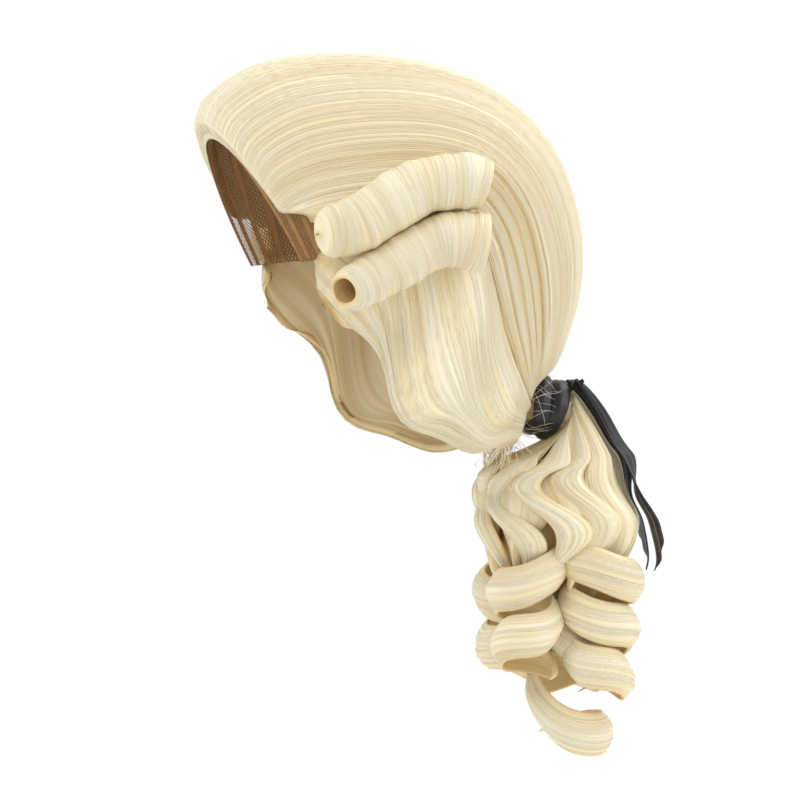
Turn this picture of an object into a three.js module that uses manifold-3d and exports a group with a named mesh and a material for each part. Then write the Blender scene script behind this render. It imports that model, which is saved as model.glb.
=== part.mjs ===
// Powdered wig: a net cap, hair combed back to a tie at the nape, two hollow rolls on each side,
// and a queue of wavy locks and open ringlets with a black ribbon.
// Millimetres, +Z up. The face looks along -Y and the wearer's left is +X.
// The origin is the inner top of the cap, where the wig sits on a head.
import * as THREE from "three";
import Module from "manifold-3d";

const wasm = await Module();
wasm.setup();

// Clearance between pieces
const GAP = 0.3;

// Net cap
const CAP_LENGTH = 200;
const CAP_DROP = 196;
const CAP_HALF_WIDTH = 76;
const CAP_WALL = 1.2;

// Hair on the cap
const HAIR_LENGTH = 210;
const HAIR_DROP = 203;
const HAIR_HALF_WIDTH = 84;
const CROWN_THICKNESS = 12;
const SIDE_THICKNESS = 6;
const SIDE_WAVE_HEIGHT = 2.2;
const SIDE_WAVE_COUNT = 4;
const GROOVE_DEPTH = 1.6;
const HAIRLINE_THICKNESS = 3;

// Side rolls
const ROLL_WALL = 5;
const ROLL_RIB_HEIGHT = 0.9;
const ROLL_FLAT = 0.7;
const UPPER_ROLL = { radius: 15.5, length: 91, start_y: -50, start_z: -91 };
const LOWER_ROLL = { radius: 13.5, length: 80, start_y: -40, start_z: -121 };

// Tie at the nape
const TIE_BACK = 94.5;
const TIE_DROP = 180;
const TIE_TILT = THREE.MathUtils.degToRad(17);
const TIE_LENGTH = 20;
const TIE_BORE_RADIUS = 12.2;
const TIE_WALL = 3.2;

// Queue
const QUEUE_LENGTH = 190;
const QUEUE_HALF_DEPTH = 41;
const QUEUE_HALF_WIDTH = 34;
const LOCKS_FROM = 2;
const LOCKS_FULL = 4;
const LOCK_COUNT = 7;
const LOCK_HEIGHT = 2.6;
const RINGLET_RADIUS = 20;
const RINGLET_WALL = 5;
const RINGLET_BAND = 20;

// Ribbon
const RIBBON_WIDTH = 20;
const RIBBON_THICKNESS = 1;
const RIBBON_LIFT = 2.4;
const RIBBON_SPREAD = THREE.MathUtils.degToRad(21);
const RIBBON_LENGTH = 114;

const HAIR_COLOUR = 0xe9d6a4;
const CAP_COLOUR = 0x9a7448;
const RIBBON_COLOUR = 0x14161d;

// Cap sections from the hairline to the nape: highest point, rim point and half width.
// y is a share of the cap's length, z of its drop and x of its half width.
const CAP_SECTIONS = [
  { top_y: -0.44, top_z: -0.189, rim_y: -0.268, rim_z: -0.525, rim_x: 0.9, fall: 1 },
  { top_y: -0.398, top_z: -0.087, rim_y: -0.22, rim_z: -0.52, rim_x: 0.934, fall: 1 },
  { top_y: -0.25, top_z: -0.018, rim_y: -0.125, rim_z: -0.51, rim_x: 0.974, fall: 0.95 },
  { top_y: -0.04, top_z: 0, rim_y: -0.01, rim_z: -0.51, rim_x: 1, fall: 0.92 },
  { top_y: 0.175, top_z: -0.026, rim_y: 0.09, rim_z: -0.53, rim_x: 1, fall: 0.92 },
  { top_y: 0.35, top_z: -0.128, rim_y: 0.165, rim_z: -0.602, rim_x: 0.96, fall: 0.92 },
  { top_y: 0.47, top_z: -0.306, rim_y: 0.205, rim_z: -0.714, rim_x: 0.87, fall: 0.9 },
  { top_y: 0.485, top_z: -0.51, rim_y: 0.22, rim_z: -0.827, rim_x: 0.77, fall: 0.95 },
  { top_y: 0.39, top_z: -0.724, rim_y: 0.225, rim_z: -0.918, rim_x: 0.67, fall: 1.05 },
  { top_y: 0.28, top_z: -0.969, rim_y: 0.22, rim_z: -1, rim_x: 0.6, fall: 1.1 },
];

// Hair sections from the hairline to the tie: highest point, widest point and hem.
// y is a share of the hair's length, z of its drop and x of its half width.
const HAIR_SECTIONS = [
  {
    top_y: -0.436, top_z: -0.158, side_y: -0.286, side_z: -0.414, side_x: 0.833,
    hem_y: -0.238, hem_z: -0.507, hem_x: 0.857, fall: 1.2,
  },
  {
    top_y: -0.457, top_z: -0.118, side_y: -0.271, side_z: -0.409, side_x: 0.863,
    hem_y: -0.229, hem_z: -0.532, hem_x: 0.887, fall: 1.2,
  },
  {
    top_y: -0.419, top_z: -0.049, side_y: -0.238, side_z: -0.404, side_x: 0.899,
    hem_y: -0.21, hem_z: -0.586, hem_x: 0.917, fall: 1.1,
  },
  {
    top_y: -0.29, top_z: 0.027, side_y: -0.167, side_z: -0.399, side_x: 0.94,
    hem_y: -0.152, hem_z: -0.66, hem_x: 0.952, fall: 1,
  },
  {
    top_y: -0.086, top_z: 0.054, side_y: -0.057, side_z: -0.389, side_x: 0.988,
    hem_y: -0.067, hem_z: -0.749, hem_x: 0.94, fall: 0.95,
  },
  {
    top_y: 0.143, top_z: 0.027, side_y: 0.062, side_z: -0.379, side_x: 1,
    hem_y: -0.019, hem_z: -0.877, hem_x: 0.881, fall: 0.92,
  },
  {
    top_y: 0.329, top_z: -0.054, side_y: 0.152, side_z: -0.404, side_x: 0.988,
    hem_y: 0.038, hem_z: -0.946, hem_x: 0.81, fall: 0.92,
  },
  {
    top_y: 0.467, top_z: -0.202, side_y: 0.21, side_z: -0.483, side_x: 0.94,
    hem_y: 0.114, hem_z: -0.98, hem_x: 0.714, fall: 0.92,
  },
  {
    top_y: 0.533, top_z: -0.394, side_y: 0.243, side_z: -0.581, side_x: 0.869,
    hem_y: 0.19, hem_z: -0.995, hem_x: 0.595, fall: 0.9,
  },
  {
    top_y: 0.536, top_z: -0.567, side_y: 0.276, side_z: -0.68, side_x: 0.77,
    hem_y: 0.257, hem_z: -1, hem_x: 0.45, fall: 0.88,
  },
  {
    top_y: 0.5, top_z: -0.709, side_y: 0.324, side_z: -0.773, side_x: 0.585,
    hem_y: 0.319, hem_z: -1, hem_x: 0.28, fall: 0.88,
  },
  {
    top_y: 0.467, top_z: -0.783, side_y: 0.367, side_z: -0.833, side_x: 0.36,
    hem_y: 0.362, hem_z: -0.975, hem_x: 0.119, fall: 0.95,
  },
];

// Combed grooves in the crown: place across from the centre to the edge, first and last section.
const CROWN_GROOVES = [
  { across: 0.3, width: 0.1, depth: 0.5, from: 2, to: 10 },
  { across: 0.58, width: 0.1, depth: 0.7, from: 2, to: 11 },
  { across: 0.8, width: 0.08, depth: 1, from: 1, to: 11 },
];

// Rolls from front to back: share of the length, then rise, girth and flare away from the hair
// as shares of the radius.
const UPPER_ROLL_ROWS = [
  { along: 0, rise: 0, girth: 0.94, flare: 0.2 },
  { along: 0.25, rise: 0.28, girth: 1.04, flare: 0.05 },
  { along: 0.46, rise: 1.03, girth: 1.04, flare: 0 },
  { along: 0.64, rise: 1.58, girth: 1.02, flare: 0 },
  { along: 0.9, rise: 1.76, girth: 0.97, flare: 0 },
  { along: 1, rise: 1.62, girth: 0.9, flare: 0 },
];
const LOWER_ROLL_ROWS = [
  { along: 0, rise: 0, girth: 0.86, flare: 0.5 },
  { along: 0.34, rise: 0.7, girth: 0.98, flare: 0.1 },
  { along: 0.63, rise: 1.42, girth: 0.92, flare: 0 },
  { along: 0.8, rise: 1.66, girth: 0.98, flare: 0 },
  { along: 1, rise: 1.5, girth: 1.18, flare: 0 },
];

// Queue body from the tie down: centre behind the tie and below it, lean of the section, girth.
// back is a share of the half depth, drop of the queue's length, girth of half depth and width.
const QUEUE_SECTIONS = [
  { back: 0.21, drop: 0.145, lean: 64, girth: 0.6 },
  { back: 0.15, drop: 0.19, lean: 79, girth: 0.83 },
  { back: 0.15, drop: 0.25, lean: 88, girth: 0.91 },
  { back: 0.2, drop: 0.33, lean: 90, girth: 1 },
  { back: 0.22, drop: 0.43, lean: 90, girth: 0.86 },
  { back: 0.2, drop: 0.52, lean: 90, girth: 0.56 },
  { back: 0.18, drop: 0.58, lean: 90, girth: 0.2 },
];

// Ringlets: side and back are shares of the queue's half width and half depth, from its axis.
// top and low are shares of the queue's length, radius and end of the ringlet's radius, there.
// tilt is how far the turns dip on the ringlet's own side, in degrees, at its low end.
const RINGLETS = [
  {
    side: 0.6, back: 0.64, top: 0.38, low: 0.82, radius: 1.22, end: 0.86, tilt: 6,
    turns: 3.1, start: 215, way: 1,
  },
  {
    side: 0.62, back: -0.36, top: 0.4, low: 0.76, radius: 1.05, end: 0.92, tilt: 10,
    turns: 2.4, start: 150, way: -1,
  },
  {
    side: 0.16, back: 0.3, top: 0.5, low: 1, radius: 0.8, end: 1.22, tilt: 36,
    turns: 2.35, start: 90, way: 1,
  },
  {
    side: -0.6, back: 0.58, top: 0.38, low: 0.8, radius: 1.15, end: 0.84, tilt: 6,
    turns: 3, start: 325, way: -1,
  },
  {
    side: -0.62, back: -0.34, top: 0.4, low: 0.77, radius: 1, end: 0.9, tilt: 10,
    turns: 2.4, start: 30, way: 1,
  },
];

// Ribbon tail rows from the band to the tip: share of the width, extra lift as a share of the width.
const RIBBON_ROWS = [
  { width: 0.4, lift: 0 },
  { width: 0.65, lift: 0.12 },
  { width: 0.95, lift: 0.18 },
  { width: 1, lift: 0.2 },
  { width: 1, lift: 0.42 },
  { width: 0.85, lift: 0.95 },
];

// Where the hair reaches its full thickness, and where the side waves fade out, as shares
const FULL_SECTION = 3;
const WAVES_START = 0.3;
const WAVES_END = 0.85;

// The band's groove and the ringlets' ends, as shares of the wall, radius and width
const TIE_GROOVE = 0.45;
const RINGLET_TIP = 0.3;
const RINGLET_TIP_START = 0.84;
const RINGLET_ROOT = 0.12;

// A ringlet's section: out and along, as shares of its wall and half its band
const RINGLET_SECTION = [
  { out: -0.5, along: -0.7 },
  { out: 0.2, along: -1 },
  { out: 0.5, along: -0.45 },
  { out: 0.5, along: 0.45 },
  { out: 0.2, along: 1 },
  { out: -0.5, along: 0.7 },
];

// Grid fineness
const STEPS_PER_SECTION = 2;
const CAP_ACROSS = 16;
const CROWN_ACROSS = 18;
const SIDE_DOWN = 6;
const ROLL_STATIONS = 13;
const ROLL_SIDES = 10;
const QUEUE_SIDES = 21;
const RINGLET_STEPS = 10;
const TIE_SEGMENTS = 18;
const RIBBON_STATIONS = 12;
const TIE_PROFILE_STEPS = 10;
const SAMPLES_PER_STEP = 4;
const PATH_STEP = 0.05;

const X = new THREE.Vector3(1, 0, 0);
const QUARTER = Math.PI / 2;

// The tie's own directions and the radii that meet it
const tieAxis = new THREE.Vector3(0, Math.cos(TIE_TILT), -Math.sin(TIE_TILT));
const tieUp = new THREE.Vector3(0, Math.sin(TIE_TILT), Math.cos(TIE_TILT));
const tieCentre = new THREE.Vector3(0, TIE_BACK, -TIE_DROP);
const tieFront = tieCentre.clone().addScaledVector(tieAxis, -TIE_LENGTH / 2 - GAP);
const tieRear = tieCentre.clone().addScaledVector(tieAxis, TIE_LENGTH / 2 + GAP);
const bundleRadius = TIE_BORE_RADIUS - GAP;
const gatherRadius = TIE_BORE_RADIUS + TIE_WALL / 2;

function smoothStep(from, to, value) {
  return THREE.MathUtils.smoothstep(value, from, to);
}

function lerp(a, b, share) {
  return a + (b - a) * share;
}

// The values of a table at a place counted in rows, on a smooth curve through its rows.
function rowAt(rows, place) {
  const last = rows.length - 1;
  const base = Math.max(0, Math.min(Math.floor(place), last - 1));
  const t = place - base;
  const row = (step) => rows[Math.max(0, Math.min(last, base + step))];
  const made = {};
  for (const name of Object.keys(rows[0])) {
    const [before, start, end, after] = [-1, 0, 1, 2].map((step) => row(step)[name]);
    const leave = (end - before) / 2;
    const arrive = (after - start) / 2;
    const rise = end - start;
    made[name] =
      start +
      t * leave +
      t * t * (3 * rise - 2 * leave - arrive) +
      t * t * t * (leave + arrive - 2 * rise);
  }
  return made;
}

// The row of a table whose along column holds the share asked for.
function rowAlong(rows, along) {
  let base = 0;
  while (base < rows.length - 2 && rows[base + 1].along < along) base += 1;
  const step = rows[base + 1].along - rows[base].along;
  return rowAt(rows, base + (along - rows[base].along) / step);
}

// A closed mesh with its faces turned outwards.
function closedGeometry(points, triangles) {
  let volume = 0;
  for (const [a, b, c] of triangles) {
    volume += points[a].dot(new THREE.Vector3().crossVectors(points[b], points[c]));
  }
  const turned = volume < 0 ? triangles.map(([a, b, c]) => [a, c, b]) : triangles;
  const geometry = new THREE.BufferGeometry().setFromPoints(points);
  geometry.setIndex(turned.flat());
  geometry.computeVertexNormals();
  return geometry;
}

function addQuad(triangles, a, b, c, d) {
  triangles.push([a, b, c], [a, c, d]);
}

// The same face split along its other diagonal
function addTurnedQuad(triangles, a, b, c, d) {
  addQuad(triangles, b, c, d, a);
}

// A wall between two open grids of points of the same fineness, alike on both sides of its middle.
function wallBetween(outer, inner) {
  const rows = outer.length;
  const columns = outer[0].length;
  const points = [...outer.flat(), ...inner.flat()];
  const out = (i, j) => i * columns + j;
  const back = (i, j) => rows * columns + out(i, j);
  const triangles = [];
  for (let i = 0; i < rows - 1; i++) {
    for (let j = 0; j < columns - 1; j++) {
      const add = j < (columns - 1) / 2 ? addQuad : addTurnedQuad;
      add(triangles, out(i, j), out(i + 1, j), out(i + 1, j + 1), out(i, j + 1));
      const turned = j < (columns - 1) / 2 ? addTurnedQuad : addQuad;
      turned(triangles, back(i, j), back(i, j + 1), back(i + 1, j + 1), back(i + 1, j));
    }
    const right = columns - 1;
    addQuad(triangles, out(i, 0), back(i, 0), back(i + 1, 0), out(i + 1, 0));
    addQuad(triangles, out(i, right), out(i + 1, right), back(i + 1, right), back(i, right));
  }
  for (let j = 0; j < columns - 1; j++) {
    const end = rows - 1;
    addQuad(triangles, out(0, j), out(0, j + 1), back(0, j + 1), back(0, j));
    addQuad(triangles, out(end, j), back(end, j), back(end, j + 1), out(end, j + 1));
  }
  return closedGeometry(points, triangles);
}

// A body through closed rings: with flat ends, or joined from the last ring to the first.
function bodyThroughRings(rings, joined = false) {
  const sides = rings[0].length;
  const points = rings.flat();
  const triangles = [];
  const spans = joined ? rings.length : rings.length - 1;
  for (let i = 0; i < spans; i++) {
    const next = (i + 1) % rings.length;
    for (let k = 0; k < sides; k++) {
      const beside = (k + 1) % sides;
      addQuad(
        triangles,
        i * sides + k,
        next * sides + k,
        next * sides + beside,
        i * sides + beside,
      );
    }
  }
  if (!joined) {
    for (const [ring, flip] of [[0, false], [rings.length - 1, true]]) {
      const centre = new THREE.Vector3();
      for (const point of rings[ring]) centre.addScaledVector(point, 1 / sides);
      points.push(centre);
      for (let k = 0; k < sides; k++) {
        const a = ring * sides + k;
        const b = ring * sides + ((k + 1) % sides);
        triangles.push(flip ? [points.length - 1, b, a] : [points.length - 1, a, b]);
      }
    }
  }
  return closedGeometry(points, triangles);
}

// The same body on the other side of the wearer.
function mirrored(geometry) {
  const flipped = geometry.clone().scale(-1, 1, 1);
  const index = flipped.index.array;
  for (let i = 0; i < index.length; i += 3) {
    [index[i + 1], index[i + 2]] = [index[i + 2], index[i + 1]];
  }
  flipped.computeVertexNormals();
  return flipped;
}

function solidOf(geometry) {
  const mesh = new wasm.Mesh({
    numProp: 3,
    vertProperties: new Float32Array(geometry.attributes.position.array),
    triVerts: new Uint32Array(geometry.index.array),
  });
  return new wasm.Manifold(mesh);
}

function geometryOf(solid) {
  const mesh = solid.getMesh();
  const geometry = new THREE.BufferGeometry();
  geometry.setAttribute("position", new THREE.BufferAttribute(mesh.vertProperties, 3));
  geometry.setIndex(new THREE.BufferAttribute(mesh.triVerts, 1));
  geometry.computeVertexNormals();
  return geometry;
}

// What a cut leaves of a body, without crumbs.
function cutBy(geometry, cutter) {
  const left = solidOf(geometry).subtract(cutter).decompose();
  left.sort((a, b) => b.volume() - a.volume());
  return geometryOf(left[0]);
}

function grid(rows, columns, pointAt) {
  return Array.from({ length: rows + 1 }, (_, i) =>
    Array.from({ length: columns + 1 }, (_, j) => pointAt(i / rows, j / columns)),
  );
}

// Cap sections in millimetres
const capRows = CAP_SECTIONS.map((row) => ({
  top_y: row.top_y * CAP_LENGTH,
  top_z: row.top_z * CAP_DROP,
  side_y: row.rim_y * CAP_LENGTH,
  side_z: row.rim_z * CAP_DROP,
  side_x: row.rim_x * CAP_HALF_WIDTH,
  fall: row.fall,
}));

// Hair sections in millimetres, ending in a ring at the front of the tie
const tieRow = {
  top_y: tieFront.y + gatherRadius * tieUp.y,
  top_z: tieFront.z + gatherRadius * tieUp.z,
  side_y: tieFront.y,
  side_z: tieFront.z,
  side_x: gatherRadius,
  hem_y: tieFront.y - gatherRadius * tieUp.y,
  hem_z: tieFront.z - gatherRadius * tieUp.z,
  hem_x: GAP,
  fall: 1,
};
const hairRows = HAIR_SECTIONS.map((row) => ({
  top_y: row.top_y * HAIR_LENGTH,
  top_z: row.top_z * HAIR_DROP,
  side_y: row.side_y * HAIR_LENGTH,
  side_z: row.side_z * HAIR_DROP,
  side_x: row.side_x * HAIR_HALF_WIDTH,
  hem_y: row.hem_y * HAIR_LENGTH,
  hem_z: row.hem_z * HAIR_DROP,
  hem_x: row.hem_x * HAIR_HALF_WIDTH,
  fall: row.fall,
})).concat([tieRow]);
const lastHairPlace = hairRows.length - 1;

// A point on an arch over the head, from -1 at the right edge to 1 at the left, sunk by a depth.
function archPoint(rows, place, across, depth) {
  const row = rowAt(rows, place);
  const angle = across * QUARTER;
  const height = Math.hypot(row.top_y - row.side_y, row.top_z - row.side_z);
  const lift = Math.pow(Math.max(0, Math.cos(angle)), row.fall) * (1 - depth / height);
  return new THREE.Vector3(
    (row.side_x - depth) * Math.sin(angle),
    lerp(row.side_y, row.top_y, lift),
    lerp(row.side_z, row.top_z, lift),
  );
}

// How deep the combed grooves are at a place on the crown.
function grooveAt(place, across) {
  let depth = 0;
  for (const groove of CROWN_GROOVES) {
    const offset = (Math.abs(across) - groove.across) / groove.width;
    const fade = smoothStep(groove.from - 1, groove.from + 1, place);
    const end = 1 - smoothStep(groove.to - 1, groove.to + 1, place);
    depth += GROOVE_DEPTH * groove.depth * Math.exp(-offset * offset) * fade * end;
  }
  return depth;
}

function crownPoint(place, across) {
  return archPoint(hairRows, place, across, grooveAt(place, across));
}

// The side hair's plain surface, from the widest point down to the hem.
function sideBase(place, down) {
  const row = rowAt(hairRows, place);
  const angle = down * QUARTER;
  const length = Math.hypot(row.hem_y - row.side_y, row.hem_z - row.side_z);
  const share = Math.sin(angle) + (GAP / length) * (1 - down);
  return new THREE.Vector3(
    lerp(row.hem_x, row.side_x, Math.cos(angle)),
    lerp(row.side_y, row.hem_y, share),
    lerp(row.side_z, row.hem_z, share),
  );
}

// The side hair's surface moved outwards, with its waves.
function sidePoint(place, down, outwards) {
  const here = sideBase(place, down);
  const ahead = sideBase(Math.min(place + PATH_STEP, lastHairPlace), down);
  const behind = sideBase(Math.max(place - PATH_STEP, 0), down);
  const below = sideBase(place, Math.min(down + PATH_STEP, 1));
  const above = sideBase(place, Math.max(down - PATH_STEP, 0));
  const normal = new THREE.Vector3()
    .crossVectors(below.sub(above), ahead.sub(behind))
    .normalize();
  return here.addScaledVector(normal, outwards);
}

function waveAt(place, down) {
  const share = place / lastHairPlace;
  const fade = smoothStep(0, WAVES_START, down) * (1 - smoothStep(WAVES_END, 1, share));
  const turn = 2 * Math.PI * (SIDE_WAVE_COUNT * share + 0.5 * down);
  return SIDE_WAVE_HEIGHT * Math.sin(turn) * fade;
}

// The net cap
const capSteps = (capRows.length - 1) * STEPS_PER_SECTION;
function capGrid(depth) {
  return grid(capSteps, CAP_ACROSS, (v, u) =>
    archPoint(capRows, v * (capRows.length - 1), 2 * u - 1, depth),
  );
}
const capGeometry = wallBetween(capGrid(-CAP_WALL), capGrid(0));

// What hair keeps clear of: the cap with the clearance round it, filled inside
const capForm = solidOf(wallBetween(capGrid(-CAP_WALL - GAP), capGrid(CAP_HALF_WIDTH / 2)));

// The hair over the crown
function crownThickness(place) {
  const full = lerp(HAIRLINE_THICKNESS, CROWN_THICKNESS, smoothStep(0, FULL_SECTION, place));
  return Math.min(full, rowAt(hairRows, place).side_x / 2);
}
const hairSteps = lastHairPlace * STEPS_PER_SECTION;
const crownOuter = grid(hairSteps, CROWN_ACROSS, (v, u) =>
  crownPoint(v * lastHairPlace, 2 * u - 1),
);
const crownInner = grid(hairSteps, CROWN_ACROSS, (v, u) => {
  const place = v * lastHairPlace;
  return archPoint(hairRows, place, 2 * u - 1, crownThickness(place));
});
const crownGeometry = cutBy(wallBetween(crownOuter, crownInner), capForm);

// The side hair
const sideOuter = grid(hairSteps, SIDE_DOWN, (v, s) =>
  sidePoint(v * lastHairPlace, s, waveAt(v * lastHairPlace, s)),
);
const sideInner = grid(hairSteps, SIDE_DOWN, (v, s) => {
  const place = v * lastHairPlace;
  const full = lerp(HAIRLINE_THICKNESS, SIDE_THICKNESS, smoothStep(0, FULL_SECTION, place));
  const thickness = Math.min(full, rowAt(hairRows, place).side_x / 2);
  return sidePoint(place, s, -thickness);
});
const sideGeometry = cutBy(wallBetween(sideOuter, sideInner), capForm);

// The furthest that the hair reaches sideways near a point seen from the side.
const sampleRows = hairSteps * SAMPLES_PER_STEP;
const crownSamples = grid(sampleRows, CROWN_ACROSS * SAMPLES_PER_STEP, (v, u) =>
  crownPoint(v * lastHairPlace, u),
);
const sideSamples = grid(sampleRows, SIDE_DOWN * SAMPLES_PER_STEP, (v, s) =>
  sidePoint(v * lastHairPlace, s, waveAt(v * lastHairPlace, s)),
);
const hairSamples = [...crownSamples.flat(), ...sideSamples.flat()];
function hairReach(y, z, radius) {
  let reach = 0;
  for (const point of hairSamples) {
    if (Math.hypot(point.y - y, point.z - z) < radius) reach = Math.max(reach, point.x);
  }
  return reach;
}

// A hollow roll against the side of the head, with ribs where the hair is wound round it.
function rollGeometry(size, rows) {
  const stations = Array.from({ length: ROLL_STATIONS }, (_, i) => {
    const along = i / (ROLL_STATIONS - 1);
    const row = rowAlong(rows, along);
    const rib = i % 2 === 0 ? 0 : ROLL_RIB_HEIGHT;
    const radius = size.radius * row.girth - rib;
    const y = size.start_y + along * size.length;
    const z = size.start_z + row.rise * size.radius;
    const flat = ROLL_FLAT * size.radius * row.girth * Math.cos(Math.PI / ROLL_SIDES);
    const seat = hairReach(y, z, size.radius * row.girth) + GAP + flat;
    const x = seat + row.flare * size.radius;
    return { centre: new THREE.Vector3(x, y, z), radius };
  });
  const ring = (i, inset) => {
    const before = stations[Math.max(0, i - 1)].centre;
    const after = stations[Math.min(ROLL_STATIONS - 1, i + 1)].centre;
    const run = after.clone().sub(before);
    const up = new THREE.Vector3(0, -run.z, run.y).normalize();
    const { centre, radius } = stations[i];
    return Array.from({ length: ROLL_SIDES }, (_, k) => {
      const angle = (2 * Math.PI * (k + 0.5)) / ROLL_SIDES;
      const side = Math.cos(angle) * (Math.cos(angle) < 0 ? ROLL_FLAT : 1);
      return centre
        .clone()
        .addScaledVector(X, (radius - inset) * side)
        .addScaledVector(up, (radius - inset) * Math.sin(angle));
    });
  };
  const order = Array.from({ length: ROLL_STATIONS }, (_, i) => i);
  const outer = order.map((i) => ring(i, 0));
  const inner = order.map((i) => ring(i, ROLL_WALL)).reverse();
  return bodyThroughRings([...outer, ...inner], true);
}
const upperRoll = rollGeometry(UPPER_ROLL, UPPER_ROLL_ROWS);
const lowerRoll = rollGeometry(LOWER_ROLL, LOWER_ROLL_ROWS);

// The band, wound twice round the hair
function tieGeometry() {
  const half = TIE_LENGTH / 2;
  const profile = [];
  for (let i = 0; i <= TIE_PROFILE_STEPS; i++) {
    const share = (2 * i) / TIE_PROFILE_STEPS - 1;
    const swell = lerp(TIE_GROOVE, 1, Math.sin(Math.PI * Math.abs(share)));
    profile.push(new THREE.Vector2(TIE_BORE_RADIUS + TIE_WALL * swell, share * half));
  }
  profile.push(new THREE.Vector2(TIE_BORE_RADIUS, half));
  profile.push(new THREE.Vector2(TIE_BORE_RADIUS, -half));
  profile.push(profile[0].clone());
  return new THREE.LatheGeometry(profile, TIE_SEGMENTS);
}

// Queue sections in millimetres, starting inside the tie
const tieLean = THREE.MathUtils.radToDeg(TIE_TILT);
const spread = tieRear.clone().addScaledVector(tieAxis, TIE_WALL);
const queueRows = [
  { y: tieFront.y + GAP, z: tieFront.z, lean: tieLean, deep: bundleRadius, wide: bundleRadius },
  { y: tieRear.y, z: tieRear.z, lean: tieLean, deep: bundleRadius, wide: bundleRadius },
  { y: spread.y, z: spread.z, lean: tieLean, deep: bundleRadius, wide: bundleRadius },
].concat(
  QUEUE_SECTIONS.map((row) => ({
    y: TIE_BACK + row.back * QUEUE_HALF_DEPTH,
    z: -TIE_DROP - row.drop * QUEUE_LENGTH,
    lean: row.lean,
    deep: row.girth * QUEUE_HALF_DEPTH,
    wide: row.girth * QUEUE_HALF_WIDTH,
  })),
);
const lastQueuePlace = queueRows.length - 1;

// A point round the queue: angle 0 is its upper or back side, a quarter turn the wearer's left.
function queuePoint(place, angle, outwards) {
  const row = rowAt(queueRows, place);
  const lean = THREE.MathUtils.degToRad(row.lean);
  const back = new THREE.Vector3(0, Math.sin(lean), Math.cos(lean));
  const fade = smoothStep(LOCKS_FROM, LOCKS_FULL, place);
  const lobe = LOCK_HEIGHT * fade * Math.cos(LOCK_COUNT * angle + place);
  return new THREE.Vector3(0, row.y, row.z)
    .addScaledVector(back, (row.deep + lobe + outwards) * Math.cos(angle))
    .addScaledVector(X, (row.wide + lobe + outwards) * Math.sin(angle));
}

// A ringlet: a band of hair wound in an open helix, narrowing to its ends.
function ringletGeometry(row) {
  const count = Math.round(row.turns * RINGLET_STEPS);
  const start = THREE.MathUtils.degToRad(row.start);
  const dip = Math.tan(THREE.MathUtils.degToRad(row.tilt)) * Math.sign(row.side);
  const rings = [];
  for (let i = 0; i <= count; i++) {
    const share = i / count;
    const angle = start + row.way * share * row.turns * 2 * Math.PI;
    const root = smoothStep(-RINGLET_ROOT, RINGLET_ROOT, share);
    const tip = lerp(1, RINGLET_TIP, smoothStep(RINGLET_TIP_START, 1, share));
    const middle = RINGLET_RADIUS * lerp(row.radius, row.end, share) - RINGLET_WALL / 2;
    const z = -TIE_DROP - lerp(row.top, row.low, share) * QUEUE_LENGTH;
    rings.push(
      RINGLET_SECTION.map(({ out, along }) => {
        const radius = middle + out * RINGLET_WALL;
        const aside = radius * Math.cos(angle);
        return new THREE.Vector3(
          row.side * QUEUE_HALF_WIDTH + aside,
          TIE_BACK + row.back * QUEUE_HALF_DEPTH + radius * Math.sin(angle),
          z - dip * share * aside + (along * root * tip * RINGLET_BAND) / 2,
        );
      }),
    );
  }
  return bodyThroughRings(rings);
}

function queueGeometry() {
  const rings = [];
  const steps = lastQueuePlace * STEPS_PER_SECTION;
  for (let i = 0; i <= steps; i++) {
    rings.push(
      Array.from({ length: QUEUE_SIDES }, (_, k) =>
        queuePoint(i / STEPS_PER_SECTION, (2 * Math.PI * k) / QUEUE_SIDES, 0),
      ),
    );
  }
  let body = solidOf(bodyThroughRings(rings));
  for (const row of RINGLETS) body = body.add(solidOf(ringletGeometry(row)));
  return geometryOf(body);
}

// A free ribbon end on the back of the queue, on the wearer's left, followed down to its length.
function ribbonGeometry() {
  const liftAt = (share) => {
    const row = rowAt(RIBBON_ROWS, share * (RIBBON_ROWS.length - 1));
    return RIBBON_LIFT + row.lift * RIBBON_WIDTH;
  };
  const start = 1 + RIBBON_THICKNESS / TIE_WALL;
  const path = [];
  let length = 0;
  for (let place = start; length < RIBBON_LENGTH && place < lastQueuePlace; place += PATH_STEP) {
    const point = queuePoint(place, RIBBON_SPREAD, liftAt(length / RIBBON_LENGTH));
    if (path.length) length += point.distanceTo(path[path.length - 1].point);
    path.push({ place, point });
  }
  const rings = [];
  for (let i = 0; i < RIBBON_STATIONS; i++) {
    const down = i / (RIBBON_STATIONS - 1);
    const row = rowAt(RIBBON_ROWS, down * (RIBBON_ROWS.length - 1));
    const at = Math.round(down * (path.length - 1));
    const { place, point } = path[at];
    const ahead = path[Math.min(at + 1, path.length - 1)].point;
    const behind = path[Math.max(at - 1, 0)].point;
    const lifted = queuePoint(place, RIBBON_SPREAD, liftAt(down) + RIBBON_WIDTH);
    const out = lifted.sub(point).normalize();
    const cross = ahead.clone().sub(behind).cross(out).normalize();
    const half = (row.width * RIBBON_WIDTH) / 2;
    rings.push(
      [[-1, -0.5], [1, -0.5], [1, 0.5], [-1, 0.5]].map(([side, up]) =>
        point
          .clone()
          .addScaledVector(cross, side * half)
          .addScaledVector(out, up * RIBBON_THICKNESS),
      ),
    );
  }
  return bodyThroughRings(rings);
}

const hairMaterial = { color: HAIR_COLOUR, roughness: 0.5, metalness: 0 };
const capMaterial = { color: CAP_COLOUR, roughness: 0.9, metalness: 0 };
const ribbonMaterial = { color: RIBBON_COLOUR, roughness: 0.4, metalness: 0 };

const wig = new THREE.Group();

function addPiece(name, geometry, material) {
  const mesh = new THREE.Mesh(geometry, new THREE.MeshStandardMaterial(material));
  mesh.name = name;
  wig.add(mesh);
  return mesh;
}

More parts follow.
